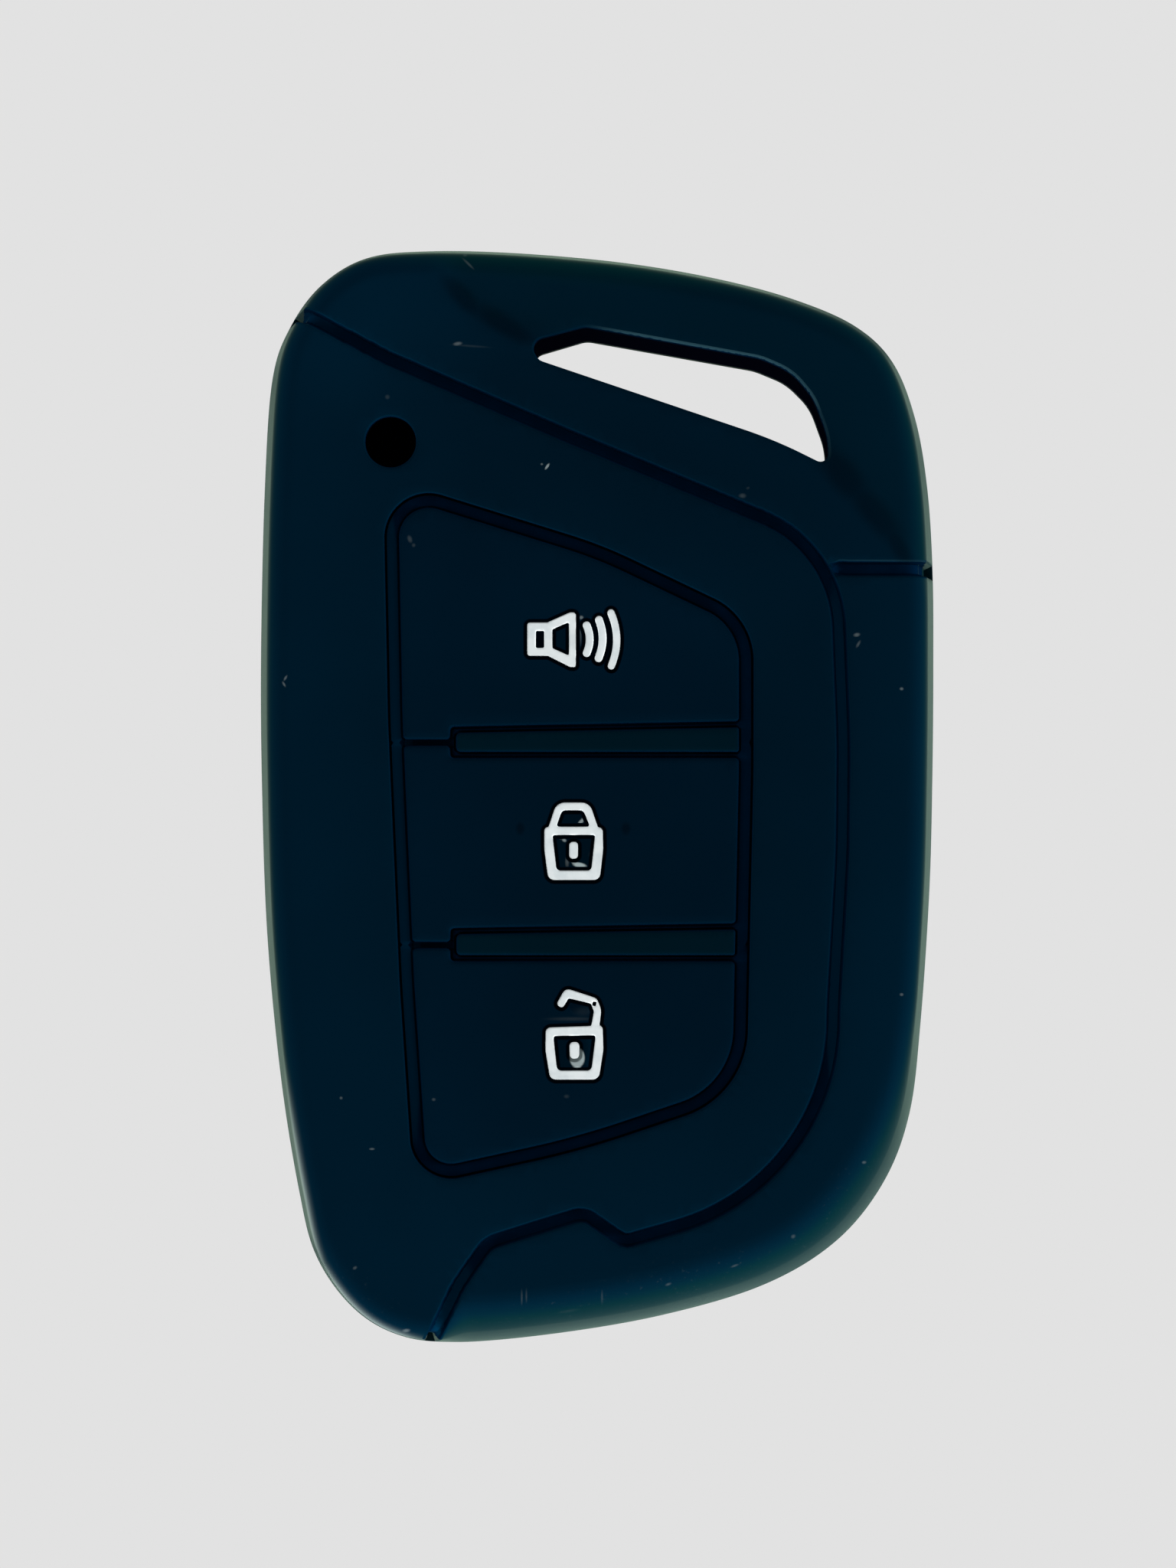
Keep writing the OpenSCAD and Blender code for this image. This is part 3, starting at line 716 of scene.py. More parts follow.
# node, outline, windows
INKS = {
    "horn": [("horn_speaker_ink", SPEAKER, [SPEAKER_BOX, SPEAKER_CONE]),
             ("horn_wave_small_ink", stroke(WAVES[0]), []),
             ("horn_wave_middle_ink", stroke(WAVES[1]), []),
             ("horn_wave_large_ink", stroke(WAVES[2], 0.5), [])],
    "lock": [("lock_outline_ink", LOCK, [LOCK_BOW, LOCK_HOLE]), ("lock_keyhole_ink", LOCK_KEY, [])],
    "unlock": [("unlock_outline_ink", UNLOCK, [UNLOCK_HOLE, UNLOCK_CHIP]), ("unlock_keyhole_ink", UNLOCK_KEY, [])],
}
INK_D = 0.25
MOAT = 0.24         # the recess of each symbol is this much wider than its ink
PAD_TOP = COVER_T - 0.05
BOSSES = {"horn": (-2.0, 10.2), "lock": (-1.6, -3.0), "unlock": (-1.5, -15.5)}


def build_pad(name):
    outline = PADS[name]
    b = Build()
    f = 0.2
    lines = [(shifted(outline, r), True) for r in lip_lines(f)]
    for _, P, windows in INKS[name]:
        for k, loop in enumerate([P] + windows):
            loop = loop if area_of(loop) > 0 else loop[::-1]
            s = 1 if k == 0 else -1
            if k and distance([loop.mean(0)], loop)[0] < MOAT + 0.05:
                continue
            for r in (0, 0.034, 0.067, 0.1):
                lines.append((shifted(loop, s * (r - MOAT)), True))
    lo, hi = outline.min(0), outline.max(0)
    free = filler(lo, hi, 0.7)
    V, T = triangulate([outline], [], lines, free[inside(free, shifted(outline, 0.4))], clear=0.2)
    z = PAD_TOP - lip_depth(distance(V, outline), f)
    sunk = np.zeros(len(V))
    for _, P, windows in INKS[name]:
        r = np.where(inside(V, P), 1, -1) * distance(V, P)
        for w in windows:
            r = np.minimum(r, np.where(inside(V, w), -1, 1) * distance(V, w))
        # soft lip outside, steep wall, flat floor
        sunk = np.maximum(sunk, INK_D * smooth((r + MOAT) / 0.1))
    z = z - sunk
    if name == "lock":      # two tiny moulding pips beside the padlock
        for x, y in ((-4.95, -2.5), (1.88, -2.45)):
            d2 = ((V - (x, y)) ** 2 / (0.22 ** 2, 0.4 ** 2)).sum(1)
            z = z + 0.048 * np.exp(-d2)
    b.sheet(at(V, z), T)
    zi = COVER_T - WALL
    tree = KDTree(len(V))
    for i, p in enumerate(V):
        tree.insert((p[0], p[1], 0), i)
    tree.balance()
    top = np.array([np.r_[V[k], z[k]] for k in (tree.find((p[0], p[1], 0))[1] for p in outline)])
    b.band(at(outline, zi + 0.15), top)
    b.band(at(shifted(outline, 0.1), zi), at(outline, zi + 0.15))
    x, y = BOSSES[name]
    boss = spaced(rounded([(x - 4.5, y - 2.5, 0.8), (x + 4.5, y - 2.5, 0.8), (x + 4.5, y + 2.5, 0.8), (x - 4.5, y + 2.5, 0.8)], 0.2), 0.8)
    base = shifted(outline, 0.1)
    free = filler(lo, hi, 1.2)
    V, T = triangulate([base], [boss], [], free[inside(free, shifted(outline, 0.8))], clear=0.5)
    b.sheet(at(V, zi), T, up=False)
    small = shifted(boss, 0.2)
    b.band(at(boss, zi - 0.5), at(boss, zi))
    b.band(at(small, zi - 0.7), at(boss, zi - 0.5))
    V, T = triangulate([small], [], [], free[inside(free, shifted(small, 0.4))], clear=0.4)
    b.sheet(at(V, zi - 0.7), T, up=False)
    return b.finish(f"{name}_button", weld=1e-3)


def area_of(P):
    x, y = P[:, 0], P[:, 1]
    return 0.5 * float((x * np.roll(y, -1) - np.roll(x, -1) * y).sum())


def build_ink(name, P, windows, fall=0.045):
    """White ink in its recess: a hair smaller than it, with a soft meniscus edge, just under the pad's face."""
    b = Build()
    P = P if area_of(P) > 0 else P[::-1]
    outer = shifted(P, 0.012)
    loops = []
    for w in windows:
        w = w if area_of(w) > 0 else w[::-1]
        loops.append(shifted(w, -0.012))
    f = 0.07
    lines = [(shifted(outer, r), True) for r in (f, 0.62 * f, 0.29 * f)]
    for w in loops:
        lines += [(shifted(w, -r), True) for r in (f, 0.62 * f, 0.29 * f)]
    lo, hi = outer.min(0), outer.max(0)
    free = filler(lo, hi, 0.14)
    V, T = triangulate([outer], loops, lines, free, clear=0.06)
    d = distance(V, outer)
    for w in loops:
        d = np.minimum(d, distance(V, w))
    top = PAD_TOP - fall
    z = top - lip_depth(d, f)
    b.sheet(at(V, z), T)
    bottom = PAD_TOP - INK_D + 0.004
    V2, T2 = triangulate([outer], loops, [], np.zeros((0, 2)))
    b.sheet(at(V2, bottom), T2, up=False)
    b.band(at(outer, bottom), at(outer, top - f))
    for w in loops:
        b.band(at(w, top - f), at(w, bottom))
    return b.finish(name.replace("_ink", "_mark"), weld=2.5e-3)


def build_bar(name):
    outline = BARS[name]
    b = Build()
    f = 0.16
    lines = [(shifted(outline, r), True) for r in lip_lines(f)]
    lo, hi = outline.min(0), outline.max(0)
    free = filler(lo, hi, 0.4)
    V, T = triangulate([outline], [], lines, free[inside(free, shifted(outline, 0.2))], clear=0.15)
    b.sheet(at(V, PAD_TOP - lip_depth(distance(V, outline), f)), T)
    zi = COVER_T - WALL
    b.band(at(outline, zi), at(outline, PAD_TOP - f))
    V, T = triangulate([outline], [], [], free[inside(free, shifted(outline, 0.2))], clear=0.15)
    b.sheet(at(V, zi), T, up=False)
    return b.finish(f"{name}_divider", weld=1e-3)


# The web round each pad: a flat floor with a narrow fold down along the fixed walls, where it hinges,
# and a shallow crease along the pad
WEB_LOW = 14.75
WEB_FLAT = COVER_T - 0.6


def build_web(name):
    b = Build()
    pad = shifted(PADS[name], 0.06)
    edge = shifted(PANEL_OPEN, -0.06)
    low = {"horn": BAR_1["neck"], "lock": BAR_2["neck"], "unlock": -40}[name]
    high = {"horn": 40, "lock": BAR_1["neck"], "unlock": BAR_2["neck"]}[name]
    bars = {"horn": ["upper"], "lock": ["upper", "lower"], "unlock": ["lower"]}[name]
    gap = -0.01         # neighbouring webs overlap by a hair, so that no light comes through
    low, high = low + gap, high - gap

    def side(ya, yb, right):
        """The panel's edge between two heights, on one side."""
        a = np.array((panel_at(ya, right, edge), ya))
        c = np.array((panel_at(yb, right, edge), yb))
        return [tuple(a)] + [p[:2] for p in along(edge, a, c, 0.1)] + [tuple(c)]

    if name == "horn":
        a, c = np.array((panel_at(low, True, edge), low)), np.array((panel_at(low, False, edge), low))
        outer = [tuple(a)] + [p[:2] for p in along(edge, a, c, 0.1)] + [tuple(c)]
    elif name == "lock":
        outer = side(low, high, True) + side(high, low, False)
    else:
        a, c = np.array((panel_at(high, False, edge), high)), np.array((panel_at(high, True, edge), high))
        outer = [tuple(a)] + [p[:2] for p in along(edge, a, c, 0.1)] + [tuple(c)]
    outer = spaced(np.array(outer), 0.35)
    walls = [shifted(BARS[k], 0.06) for k in bars]
    lines = []
    for r in (0.05, 0.09, 0.13, 0.17, 0.21):
        Q = shifted(edge, r)
        inner_side = (Q[:, 1] > low + 0.02) & (Q[:, 1] < high - 0.02)
        n = len(Q)
        start = next((i for i in range(n) if inner_side[i] and not inner_side[i - 1]), 0)
        run = []
        for j in range(n + 1):
            i = (start + j) % n
            if inner_side[i] and j < n:
                run.append(Q[i])
            elif run:
                if len(run) > 1:
                    lines.append((np.array(run), False))
                run = []
        for w in walls:
            lines.append((shifted(w, -r), True))
    for r in (0.1, 0.16, 0.22):
        lines.append((shifted(pad, -r), True))
    for w in walls:
        lines.append((w, True))
    V, T = triangulate([outer], [pad], lines, np.zeros((0, 2)))
    C = V[T].mean(1)
    keep = np.ones(len(T), bool)
    for w in walls:
        keep &= ~inside(C, w)
    T = T[keep]
    used = np.unique(T)
    new = np.full(len(V), -1)
    new[used] = np.arange(len(used))
    V, T = V[used], new[T]
    r = distance(V, edge)
    for w in walls:
        r = np.minimum(r, distance(V, w))
    rise = smooth((r - 0.06) / 0.17)
    for k, y in ((b1, b1["neck"]) for b1 in (BAR_1, BAR_2)):     # deep in the narrow necks beside the bars
        across = np.abs(V[:, 1] - y) < FINE + 0.1
        left = smooth((V[:, 0] - panel_at(y, False) + 0.1) / 0.12) * smooth((k["x"] - V[:, 0]) / 0.1)
        rise = np.where(across, np.minimum(rise, 1 - 0.85 * left), rise)
    crease = 0.22 * (1 - smooth((distance(V, pad) - 0.08) / 0.14)) * rise
    top = at(V, WEB_LOW + 0.22 + (WEB_FLAT - WEB_LOW - 0.22) * rise - crease)
    bot = at(V, WEB_LOW + 0.3 * rise - 0.5 * crease)
    b.sheet(top, T)
    b.sheet(bot, T, up=False)
    # close the sides along every open edge
    count = {}
    for t in T:
        for i in range(3):
            e = (int(t[i]), int(t[(i + 1) % 3]))
            count[e] = count.get(e, 0) + 1
    for (i, j) in count:
        if (j, i) not in count:
            b.add([bot[i], bot[j], top[j], top[i]], [(0, 1, 2, 3)])
    return b.finish(f"{name}_membrane", weld=1e-4, angle=60)


# ------------------------------------------------------------------ materials


class Nodes:
    """Short calls for building a material."""

    def __init__(self, name):
        self.mat = bpy.data.materials.new(name)
        self.mat.use_nodes = True
        self.t = self.mat.node_tree
        self.t.nodes.clear()
        self.out = self.t.nodes.new("ShaderNodeOutputMaterial")
        self.b = self.t.nodes.new("ShaderNodeBsdfPrincipled")
        self.link(self.b.outputs[0], self.out.inputs["Surface"])
        self.coord = self.t.nodes.new("ShaderNodeTexCoord").outputs["Object"]

    def link(self, a, b):
        self.t.links.new(a, b)

    def put(self, value, socket):
        if isinstance(value, bpy.types.NodeSocket):
            self.link(value, socket)
        else:
            socket.default_value = value

    def node(self, kind, **props):
        n = self.t.nodes.new(kind)
        for k, v in props.items():
            setattr(n, k, v)
        return n

    def math(self, op, a, b=0.0, clamp=False):
        n = self.node("ShaderNodeMath", operation=op, use_clamp=clamp)
        self.put(a, n.inputs[0])
        self.put(b, n.inputs[1])
        return n.outputs[0]

    def noise(self, scale, detail=2.0, rough=0.5, vector=None, out="Fac"):
        n = self.node("ShaderNodeTexNoise")
        self.link(vector or self.coord, n.inputs["Vector"])
        n.inputs["Scale"].default_value = scale
        n.inputs["Detail"].default_value = detail
        n.inputs["Roughness"].default_value = rough
        return n.outputs[out]

    def ramp(self, fac, lo, hi, a=0.0, b=1.0):
        n = self.node("ShaderNodeMapRange", interpolation_type="SMOOTHSTEP")
        self.put(fac, n.inputs["Value"])
        for k, v in zip(("From Min", "From Max", "To Min", "To Max"), (lo, hi, a, b)):
            n.inputs[k].default_value = v
        return n.outputs["Result"]

    def mix(self, fac, a, b):
        n = self.node("ShaderNodeMix", data_type="RGBA")
        self.put(fac, n.inputs["Factor"])
        self.put(a, n.inputs[6])
        self.put(b, n.inputs[7])
        return n.outputs[2]

    def spot(self, x, y, rx, ry, angle=0.0, soft=0.4):
        """1 inside an ellipse on the button side, fading to 0 at its edge; millimetres and degrees."""
        n = self.node("ShaderNodeMapping", vector_type="TEXTURE")
        self.link(self.coord, n.inputs["Vector"])
        n.inputs["Location"].default_value = (x * MM, y * MM, 0)
        n.inputs["Rotation"].default_value = (0, 0, math.radians(angle))
        n.inputs["Scale"].default_value = (rx * MM, ry * MM, 1000)
        v = self.node("ShaderNodeVectorMath", operation="LENGTH")
        self.link(n.outputs[0], v.inputs[0])
        return self.ramp(v.outputs["Value"], 1 - soft, 1 + soft, 1, 0)

    def most(self, masks):
        out = masks[0]
        for m in masks[1:]:
            out = self.math("MAXIMUM", out, m)
        return out

    def bump(self, height, strength, distance, normal=None):
        n = self.node("ShaderNodeBump")
        n.inputs["Strength"].default_value = strength
        n.inputs["Distance"].default_value = distance
        self.link(height, n.inputs["Height"])
        if normal is not None:
            self.link(normal, n.inputs["Normal"])
        return n.outputs["Normal"]


# Painted shade and painted light over the silicone: x, y, half width, half length, angle, softness, change
SHADES = [(1.5, 6, 15, 26, 0, 0.45, -0.2), (-3, 24.5, 9, 3.4, -22, 0.7, -0.05), (-15.5, 32, 7.5, 5, 20, 0.8, 0.26),
          (-12, -31, 9, 5, 0, 0.8, 0.1), (-1, 11, 9, 4.5, 0, 0.8, 0.12), (-1, -16.5, 10, 6, 0, 0.8, -0.08),
          (19.5, -2, 3, 22, 2, 0.7, 0.05)]
# Shade along the soft step by the slot: x, y, half length, half width, angle, softness
CREASES = [(-8.7, 32.4, 1.7, 0.55, -46, 0.6), (-6.2, 30.7, 2.2, 0.6, -31, 0.6), (16.0, 20.8, 1.9, 0.95, -50, 0.55),
           (18.0, 18.4, 2.4, 0.8, -50, 0.6), (19.5, 16.3, 1.6, 0.5, -60, 0.7),
           (-4.99, -2.05, 0.26, 0.36, 0, 0.6), (1.85, -2.05, 0.26, 0.36, 0, 0.6)]      # and by the two pips
# Lint, chips and rubbed places, lighter than the silicone: x, y, half length, half width, angle, softness, amount
SKIN_MARKS = [
    (-8.4, 34.6, 0.45, 0.07, -45, 0.6, 0.09), (-8.6, 35.2, 0.13, 0.1, 0, 0.6, 0.3), (-9.05, 29.35, 0.24, 0.1, 8, 0.6, 0.12),
    (-8.2, 29.2, 0.9, 0.06, -4, 0.9, 0.02), (-3.25, 21.4, 0.2, 0.07, 55, 0.5, 0.4), (-3.6, 21.55, 0.07, 0.06, 0, 0.6, 0.15),
    (9.4, 19.5, 0.18, 0.12, 0, 0.8, 0.045), (9.1, 19.1, 0.1, 0.08, 0, 0.8, 0.03), (9.75, 20.0, 0.1, 0.07, 20, 0.7, 0.02),
    (-20.2, 7.7, 0.16, 0.06, 60, 0.7, 0.14), (-20.3, 7.3, 0.16, 0.06, -60, 0.7, 0.14), (19.7, 7.0, 0.1, 0.08, 0, 0.7, 0.15),
    (16.8, 10.5, 0.17, 0.1, 10, 0.7, 0.12), (16.9, 9.9, 0.2, 0.07, 60, 0.8, 0.08),
    (-13.6, 25.9, 0.12, 0.12, 0, 0.8, 0.03), (19.7, -12.8, 0.1, 0.08, 0, 0.7, 0.1), (17.3, -23.7, 0.12, 0.08, 0, 0.7, 0.08),
    (-15.7, -30.5, 0.12, 0.08, 30, 0.7, 0.08), (-14.6, -22.8, 0.14, 0.06, 0, 0.7, 0.12), (-16.6, -19.5, 0.08, 0.08, 0, 0.7, 0.1),
    (-4.9, -32.4, 0.05, 0.4, 0, 0.8, 0.035), (-4.6, -32.3, 0.05, 0.35, 0, 0.8, 0.03), (0.3, -32.5, 0.06, 0.4, 0, 0.8, 0.025),
    (-17.2, -33.6, 0.12, 0.08, 0, 0.8, 0.08), (-12.4, -34.6, 0.2, 0.1, 10, 0.8, 0.12), (4.6, -31.6, 0.16, 0.07, 20, 0.8, 0.05),
    (8.9, -30.4, 0.2, 0.06, 20, 0.8, 0.05), (12.7, -28.5, 0.12, 0.1, 40, 0.8, 0.05), (-1.9, -33.4, 0.5, 0.08, 10, 0.9, 0.04)]
PAD_MARKS = [
    (-12.15, 16.7, 0.12, 0.2, 20, 0.7, 0.05), (-11.9, 16.3, 0.1, 0.1, 0, 0.7, 0.035), (-2.0, -19.4, 0.14, 0.1, 0, 0.8, 0.025),
    (-10.6, -19.6, 0.1, 0.08, 0, 0.8, 0.06),
    # round the sounder
    (-1.05, 11.62, 0.12, 0.1, 0, 0.6, 0.22), (-1.1, 10.6, 0.07, 0.6, 0, 0.8, 0.08), (0.72, 10.3, 0.14, 0.75, -4, 0.5, 0.2),
    # in the padlock
    (-1.15, -4.42, 0.4, 0.15, -10, 0.35, 0.62), (-1.5, -4.3, 0.25, 0.09, -40, 0.5, 0.4), (-1.05, -1.6, 0.3, 0.1, 48, 0.6, 0.4),
    (-0.4, -3.6, 0.09, 0.32, -12, 0.6, 0.34), (-2.15, -2.8, 0.13, 0.09, -30, 0.6, 0.34), (-1.96, -4.2, 0.1, 0.3, 0, 0.8, 0.08),
    (-2.45, -2.66, 0.2, 0.06, -30, 0.8, 0.1),
    # in the open padlock: the keyhole printed a second time, and a rubbed line over the body
    (-1.31, -16.9, 0.47, 0.63, 0, 0.14, 0.55), (-1.6, -14.38, 1.3, 0.1, 0, 0.8, 0.02), (-0.9, -13.9, 0.5, 0.25, 0, 0.9, 0.01)]
GHOST = [(-1.31, -16.9, 0.47, 0.63, 0, 0.14, 0.55)]
# Painted highlight where the slot's upper lip catches the light, and along the short groove's upper lip: x, y, half
# length, half width, angle, softness, amount
LIP_SHINE = [(6.9, 29.0, 6.4, 1.3, -10.5, 0.3, 0.6), (12.9, 26.6, 1.7, 2.3, 30, 0.35, 0.5), (14.7, 23.6, 0.7, 1.6, 12, 0.4, 0.2),
             (19.2, 15.35, 3.6, 0.4, 0, 0.5, 0.12)]
# Floors of the grooves that the light reaches
LIT_FLOORS = [(-12.75, -1.5, 20.5, 1.0, -87.6, 0.06, 1.0), (15.6, -4.5, 18.0, 1.1, 90.7, 0.08, 1.0), (-9.3, -33.0, 1.4, 3.0, 0, 0.3, 1.6),
              (-19.0, 31.2, 2.4, 0.9, -20, 0.4, 0.5), (9.8, -3, 15, 0.9, 90, 0.1, 0.12)]


def marked(m, colour, marks, light=(0.52, 0.63, 0.64, 1)):
    """The colour with lighter marks on it."""
    masks = [m.math("MULTIPLY", m.spot(x, y, rx, ry, angle, soft), k) for x, y, rx, ry, angle, soft, k in marks]
    return m.mix(m.most(masks), colour, light)


def silicone(name, base, sheen=0.145, marks=(), edge_light_and_dust=False, strength=1.0, light=(0.52, 0.63, 0.64, 1)):
    m = Nodes(name)
    shade = strength
    # painted shade and light from SHADES; below, painted shade along the step by the slot and by the two pips
    for x, y, rx, ry, angle, soft, k in SHADES:
        shade = m.math("ADD", m.math("MULTIPLY", m.spot(x, y, rx, ry, angle, soft), k * strength), shade)
    shade = m.math("MULTIPLY", shade, m.ramp(m.noise(90, 3, 0.5), 0.3, 0.7, 0.95, 1.05))
    dark = m.most([m.spot(*c) for c in CREASES])
    shade = m.math("MULTIPLY", shade, m.math("SUBTRACT", 1.0, m.math("MULTIPLY", dark, 0.38)))
    scale = m.node("ShaderNodeVectorMath", operation="SCALE")
    scale.inputs[0].default_value = base
    m.link(shade, scale.inputs["Scale"])
    colour = scale.outputs[0]
    if marks:
        colour = marked(m, colour, marks, light)
    if edge_light_and_dust:                   # painted highlight on the foot's wall and on the lower-left corner's rounding, painted sheen tints on the rounded edges, and fine pale dust specks along the foot
        foot = m.most([m.spot(2, -33.2, 15, 2.4, 14, 0.5), m.spot(16.5, -26.5, 6, 2.2, 48, 0.5), m.spot(-15.5, -33, 3.5, 2.2, -38, 0.5)])
        xyz = m.node("ShaderNodeSeparateXYZ")
        m.link(m.coord, xyz.inputs[0])
        # a painted highlight low on the foot's wall
        wall = m.ramp(xyz.outputs["Z"], 0.0118, 0.0142, 0.01, 0)
        # a painted highlight on the rounding of the lower-left corner
        corner_highlight = m.most([m.spot(-19.7, -27, 8, 1.5, -81, 0.5), m.spot(-15.6, -34, 6, 1.8, -40, 0.5)])
        # painted sheen: greener where the face rounds off, and a painted greener light along the key-ring end
        colour = m.mix(m.ramp(xyz.outputs["Z"], 0.0149, 0.01595, 0.85, 0), colour, (0, 0.0122, 0.0150, 1))
        colour = m.mix(m.math("MULTIPLY", m.spot(-1.5, 35.9, 17, 1.9, -4.5, 0.6), 0.4), colour, (0, 0.026, 0.0225, 1))
        # fine pale dust specks along the foot, with the painted highlights on its wall and on the corner's rounding
        dust_and_highlight = m.math("MULTIPLY", foot, m.math("ADD", wall, m.ramp(m.noise(3300, 3, 0.7), 0.6, 0.8, 0, 0.02)))
        edge = m.math("MULTIPLY", m.ramp(xyz.outputs["Z"], 0.0149, 0.0158, 0.2, 0), m.ramp(xyz.outputs["Z"], 0.0118, 0.0144, 0, 1))
        dust_and_highlight = m.math("ADD", dust_and_highlight, m.math("MULTIPLY", corner_highlight, edge))
        colour = m.mix(dust_and_highlight, colour, (0.5, 0.6, 0.6, 1))
    m.link(colour, m.b.inputs["Base Color"])
    m.link(m.ramp(m.noise(400, 2, 0.5), 0.2, 0.8, 0.45, 0.55), m.b.inputs["Roughness"])
    m.b.inputs["IOR"].default_value = 1.03
    m.b.inputs["Specular IOR Level"].default_value = 0.06
    m.b.inputs["Sheen Weight"].default_value = sheen
    m.b.inputs["Sheen Roughness"].default_value = 0.3
    m.b.inputs["Sheen Tint"].default_value = (0.715, 0.972, 0.728, 1)
    grain = m.bump(m.noise(4200, 2, 0.6), 0.12, 0.00003)
    m.link(m.bump(m.noise(160, 2, 0.5), 0.06, 0.0004, grain), m.b.inputs["Normal"])
    return m.mat


def recess(name, dark, lit=None, places=LIT_FLOORS):
    """Silicone down in a groove: no sheen, a darker colour as painted shade, and paler, as painted light, where its
    floor gets light.
    """
    m = Nodes(name)
    colour = m.mix(m.ramp(m.noise(700, 3, 0.5), 0.3, 0.7), tuple(0.92 * c for c in dark) + (1,), tuple(1.08 * c for c in dark) + (1,))
    if lit:
        masks = [m.math("MULTIPLY", m.spot(x, y, rx, ry, angle, soft), k) for x, y, rx, ry, angle, soft, k in places]
        colour = m.mix(m.most(masks), colour, lit + (1,))
    m.link(colour, m.b.inputs["Base Color"])
    m.link(m.ramp(m.noise(500, 2, 0.5), 0.2, 0.8, 0.6, 0.7), m.b.inputs["Roughness"])
    m.b.inputs["IOR"].default_value = 1.03
    m.b.inputs["Specular IOR Level"].default_value = 0.02
    m.link(m.bump(m.noise(3000, 2, 0.6), 0.1, 0.00003), m.b.inputs["Normal"])
    return m.mat


def ink_material():
    m = Nodes("white_silicone_ink")
    colour = m.mix(m.ramp(m.noise(900, 3, 0.6), 0.35, 0.75), (0.80, 0.86, 0.87, 1), (0.68, 0.75, 0.77, 1))
    m.link(colour, m.b.inputs["Base Color"])
    m.link(m.ramp(m.noise(1300, 2, 0.5), 0.3, 0.7, 0.38, 0.52), m.b.inputs["Roughness"])
    m.b.inputs["Specular IOR Level"].default_value = 0.35
    m.link(m.bump(m.noise(1600, 2, 0.5), 0.15, 0.00004), m.b.inputs["Normal"])
    return m.mat


SKIN = silicone("petrol_silicone_skin", (0.0, 0.0090, 0.0204), marks=SKIN_MARKS, edge_light_and_dust=True)
# the lips' material carries the painted highlight of LIP_SHINE
SKIN_LIP = silicone("petrol_silicone_lips", (0.0, 0.0086, 0.0188), sheen=0.01, marks=LIP_SHINE, light=(0.024, 0.066, 0.086, 1))
BAR = silicone("petrol_silicone_dividers", (0.0, 0.0091, 0.0168))
PAD = silicone("petrol_silicone_buttons", (0.0, 0.0082, 0.0194), marks=PAD_MARKS)
PAD_LIP = silicone("petrol_silicone_button_edges", (0.0, 0.0080, 0.0184), sheen=0.01)
WELL = silicone("petrol_silicone_symbol_wells", (0.0, 0.0066, 0.0142), sheen=0.03, marks=PAD_MARKS)
# the symbols' recess edges are very dark: painted shade
MOATS = silicone("petrol_silicone_symbol_edges", (0.0, 0.0024, 0.0062), sheen=0.0, marks=GHOST)
# groove walls darker than the skin: painted shade
WALLS = recess("petrol_silicone_groove_walls", (0.0, 0.0060, 0.0182))
# the inside is darker, painted shade; round the slot it is paler, painted light standing for light that comes through
# the silicone
INSIDE = recess("petrol_silicone_inside", (0.0, 0.0040, 0.0124), (0.016, 0.021, 0.078), [(5.5, 26.3, 12.5, 5.5, -17, 0.15, 1.0)])
# groove floors: darker as painted shade, paler as painted light at LIT_FLOORS
FLOORS = recess("petrol_silicone_groove_floors", (0.0, 0.0078, 0.0245), (0.0, 0.0168, 0.0400))
INK = ink_material()


def dress(obj, mats, part=None):
    """Gives a piece its materials. part tells each face's material from the face's middle, in millimetres, and its normal."""
    mesh = obj.data
    mesh.materials.clear()
    for mat in mats:
        mesh.materials.append(mat)
    if part is not None:
        n = len(mesh.polygons)
        c, m = np.empty(n * 3, np.float32), np.empty(n * 3, np.float32)
        mesh.polygons.foreach_get("center", c)
        mesh.polygons.foreach_get("normal", m)
        index = part(c.reshape(-1, 3).astype(float) / MM, m.reshape(-1, 3).astype(float))
        mesh.polygons.foreach_set("material_index", index.astype(np.int32))
        mesh.update()


def skin_part(C, N):
    """0 the moulding's face, 1 rounded lips, 2 walls of grooves, 3 floors of grooves, 4 walls of openings and the inside."""
    P, z = C[:, :2], C[:, 2]
    _, n, u = foot_of(P)
    outer = (z > PART_Z) & (N[:, 2] > -0.3) & ((z > COVER_T - WALL + 0.05) | (u < WALL - 0.1) | (N[:, 2] > 0.15))
    r = np.minimum(distance(P, LONG_GROOVE, closed=False), distance(P, SHORT_GROOVE, closed=False))
    hw = GROOVE_W / 2
    out = np.zeros(len(C), int)
    for hole, f in ((SLOT_FRONT, SLOT_LIP), (LED_RIM, LED_LIP), (PANEL_OPEN, PANEL_LIP)):
        d = distance(P, hole)
        out[d < f] = 1
        out[d < 0.03] = 2
    out[r < hw + LIP] = 1
    out[r < hw] = 2
    out[r < hw - DRAFT - 0.4 * FLOOR] = 3
    out[(r < hw + LIP) & (u < 0.8)] = 0
    out[~outer] = 0
    inner = (u > WALL - 0.1) & (z > WALL - 0.02) & (z < COVER_T - WALL + 0.02)
    out[inner & ((np.einsum("ij,ij->i", N[:, :2], n) > 0.15) | (N[:, 2] < -0.3) | ((N[:, 2] > 0.3) & (z < PART_Z)))] = 4
    return out


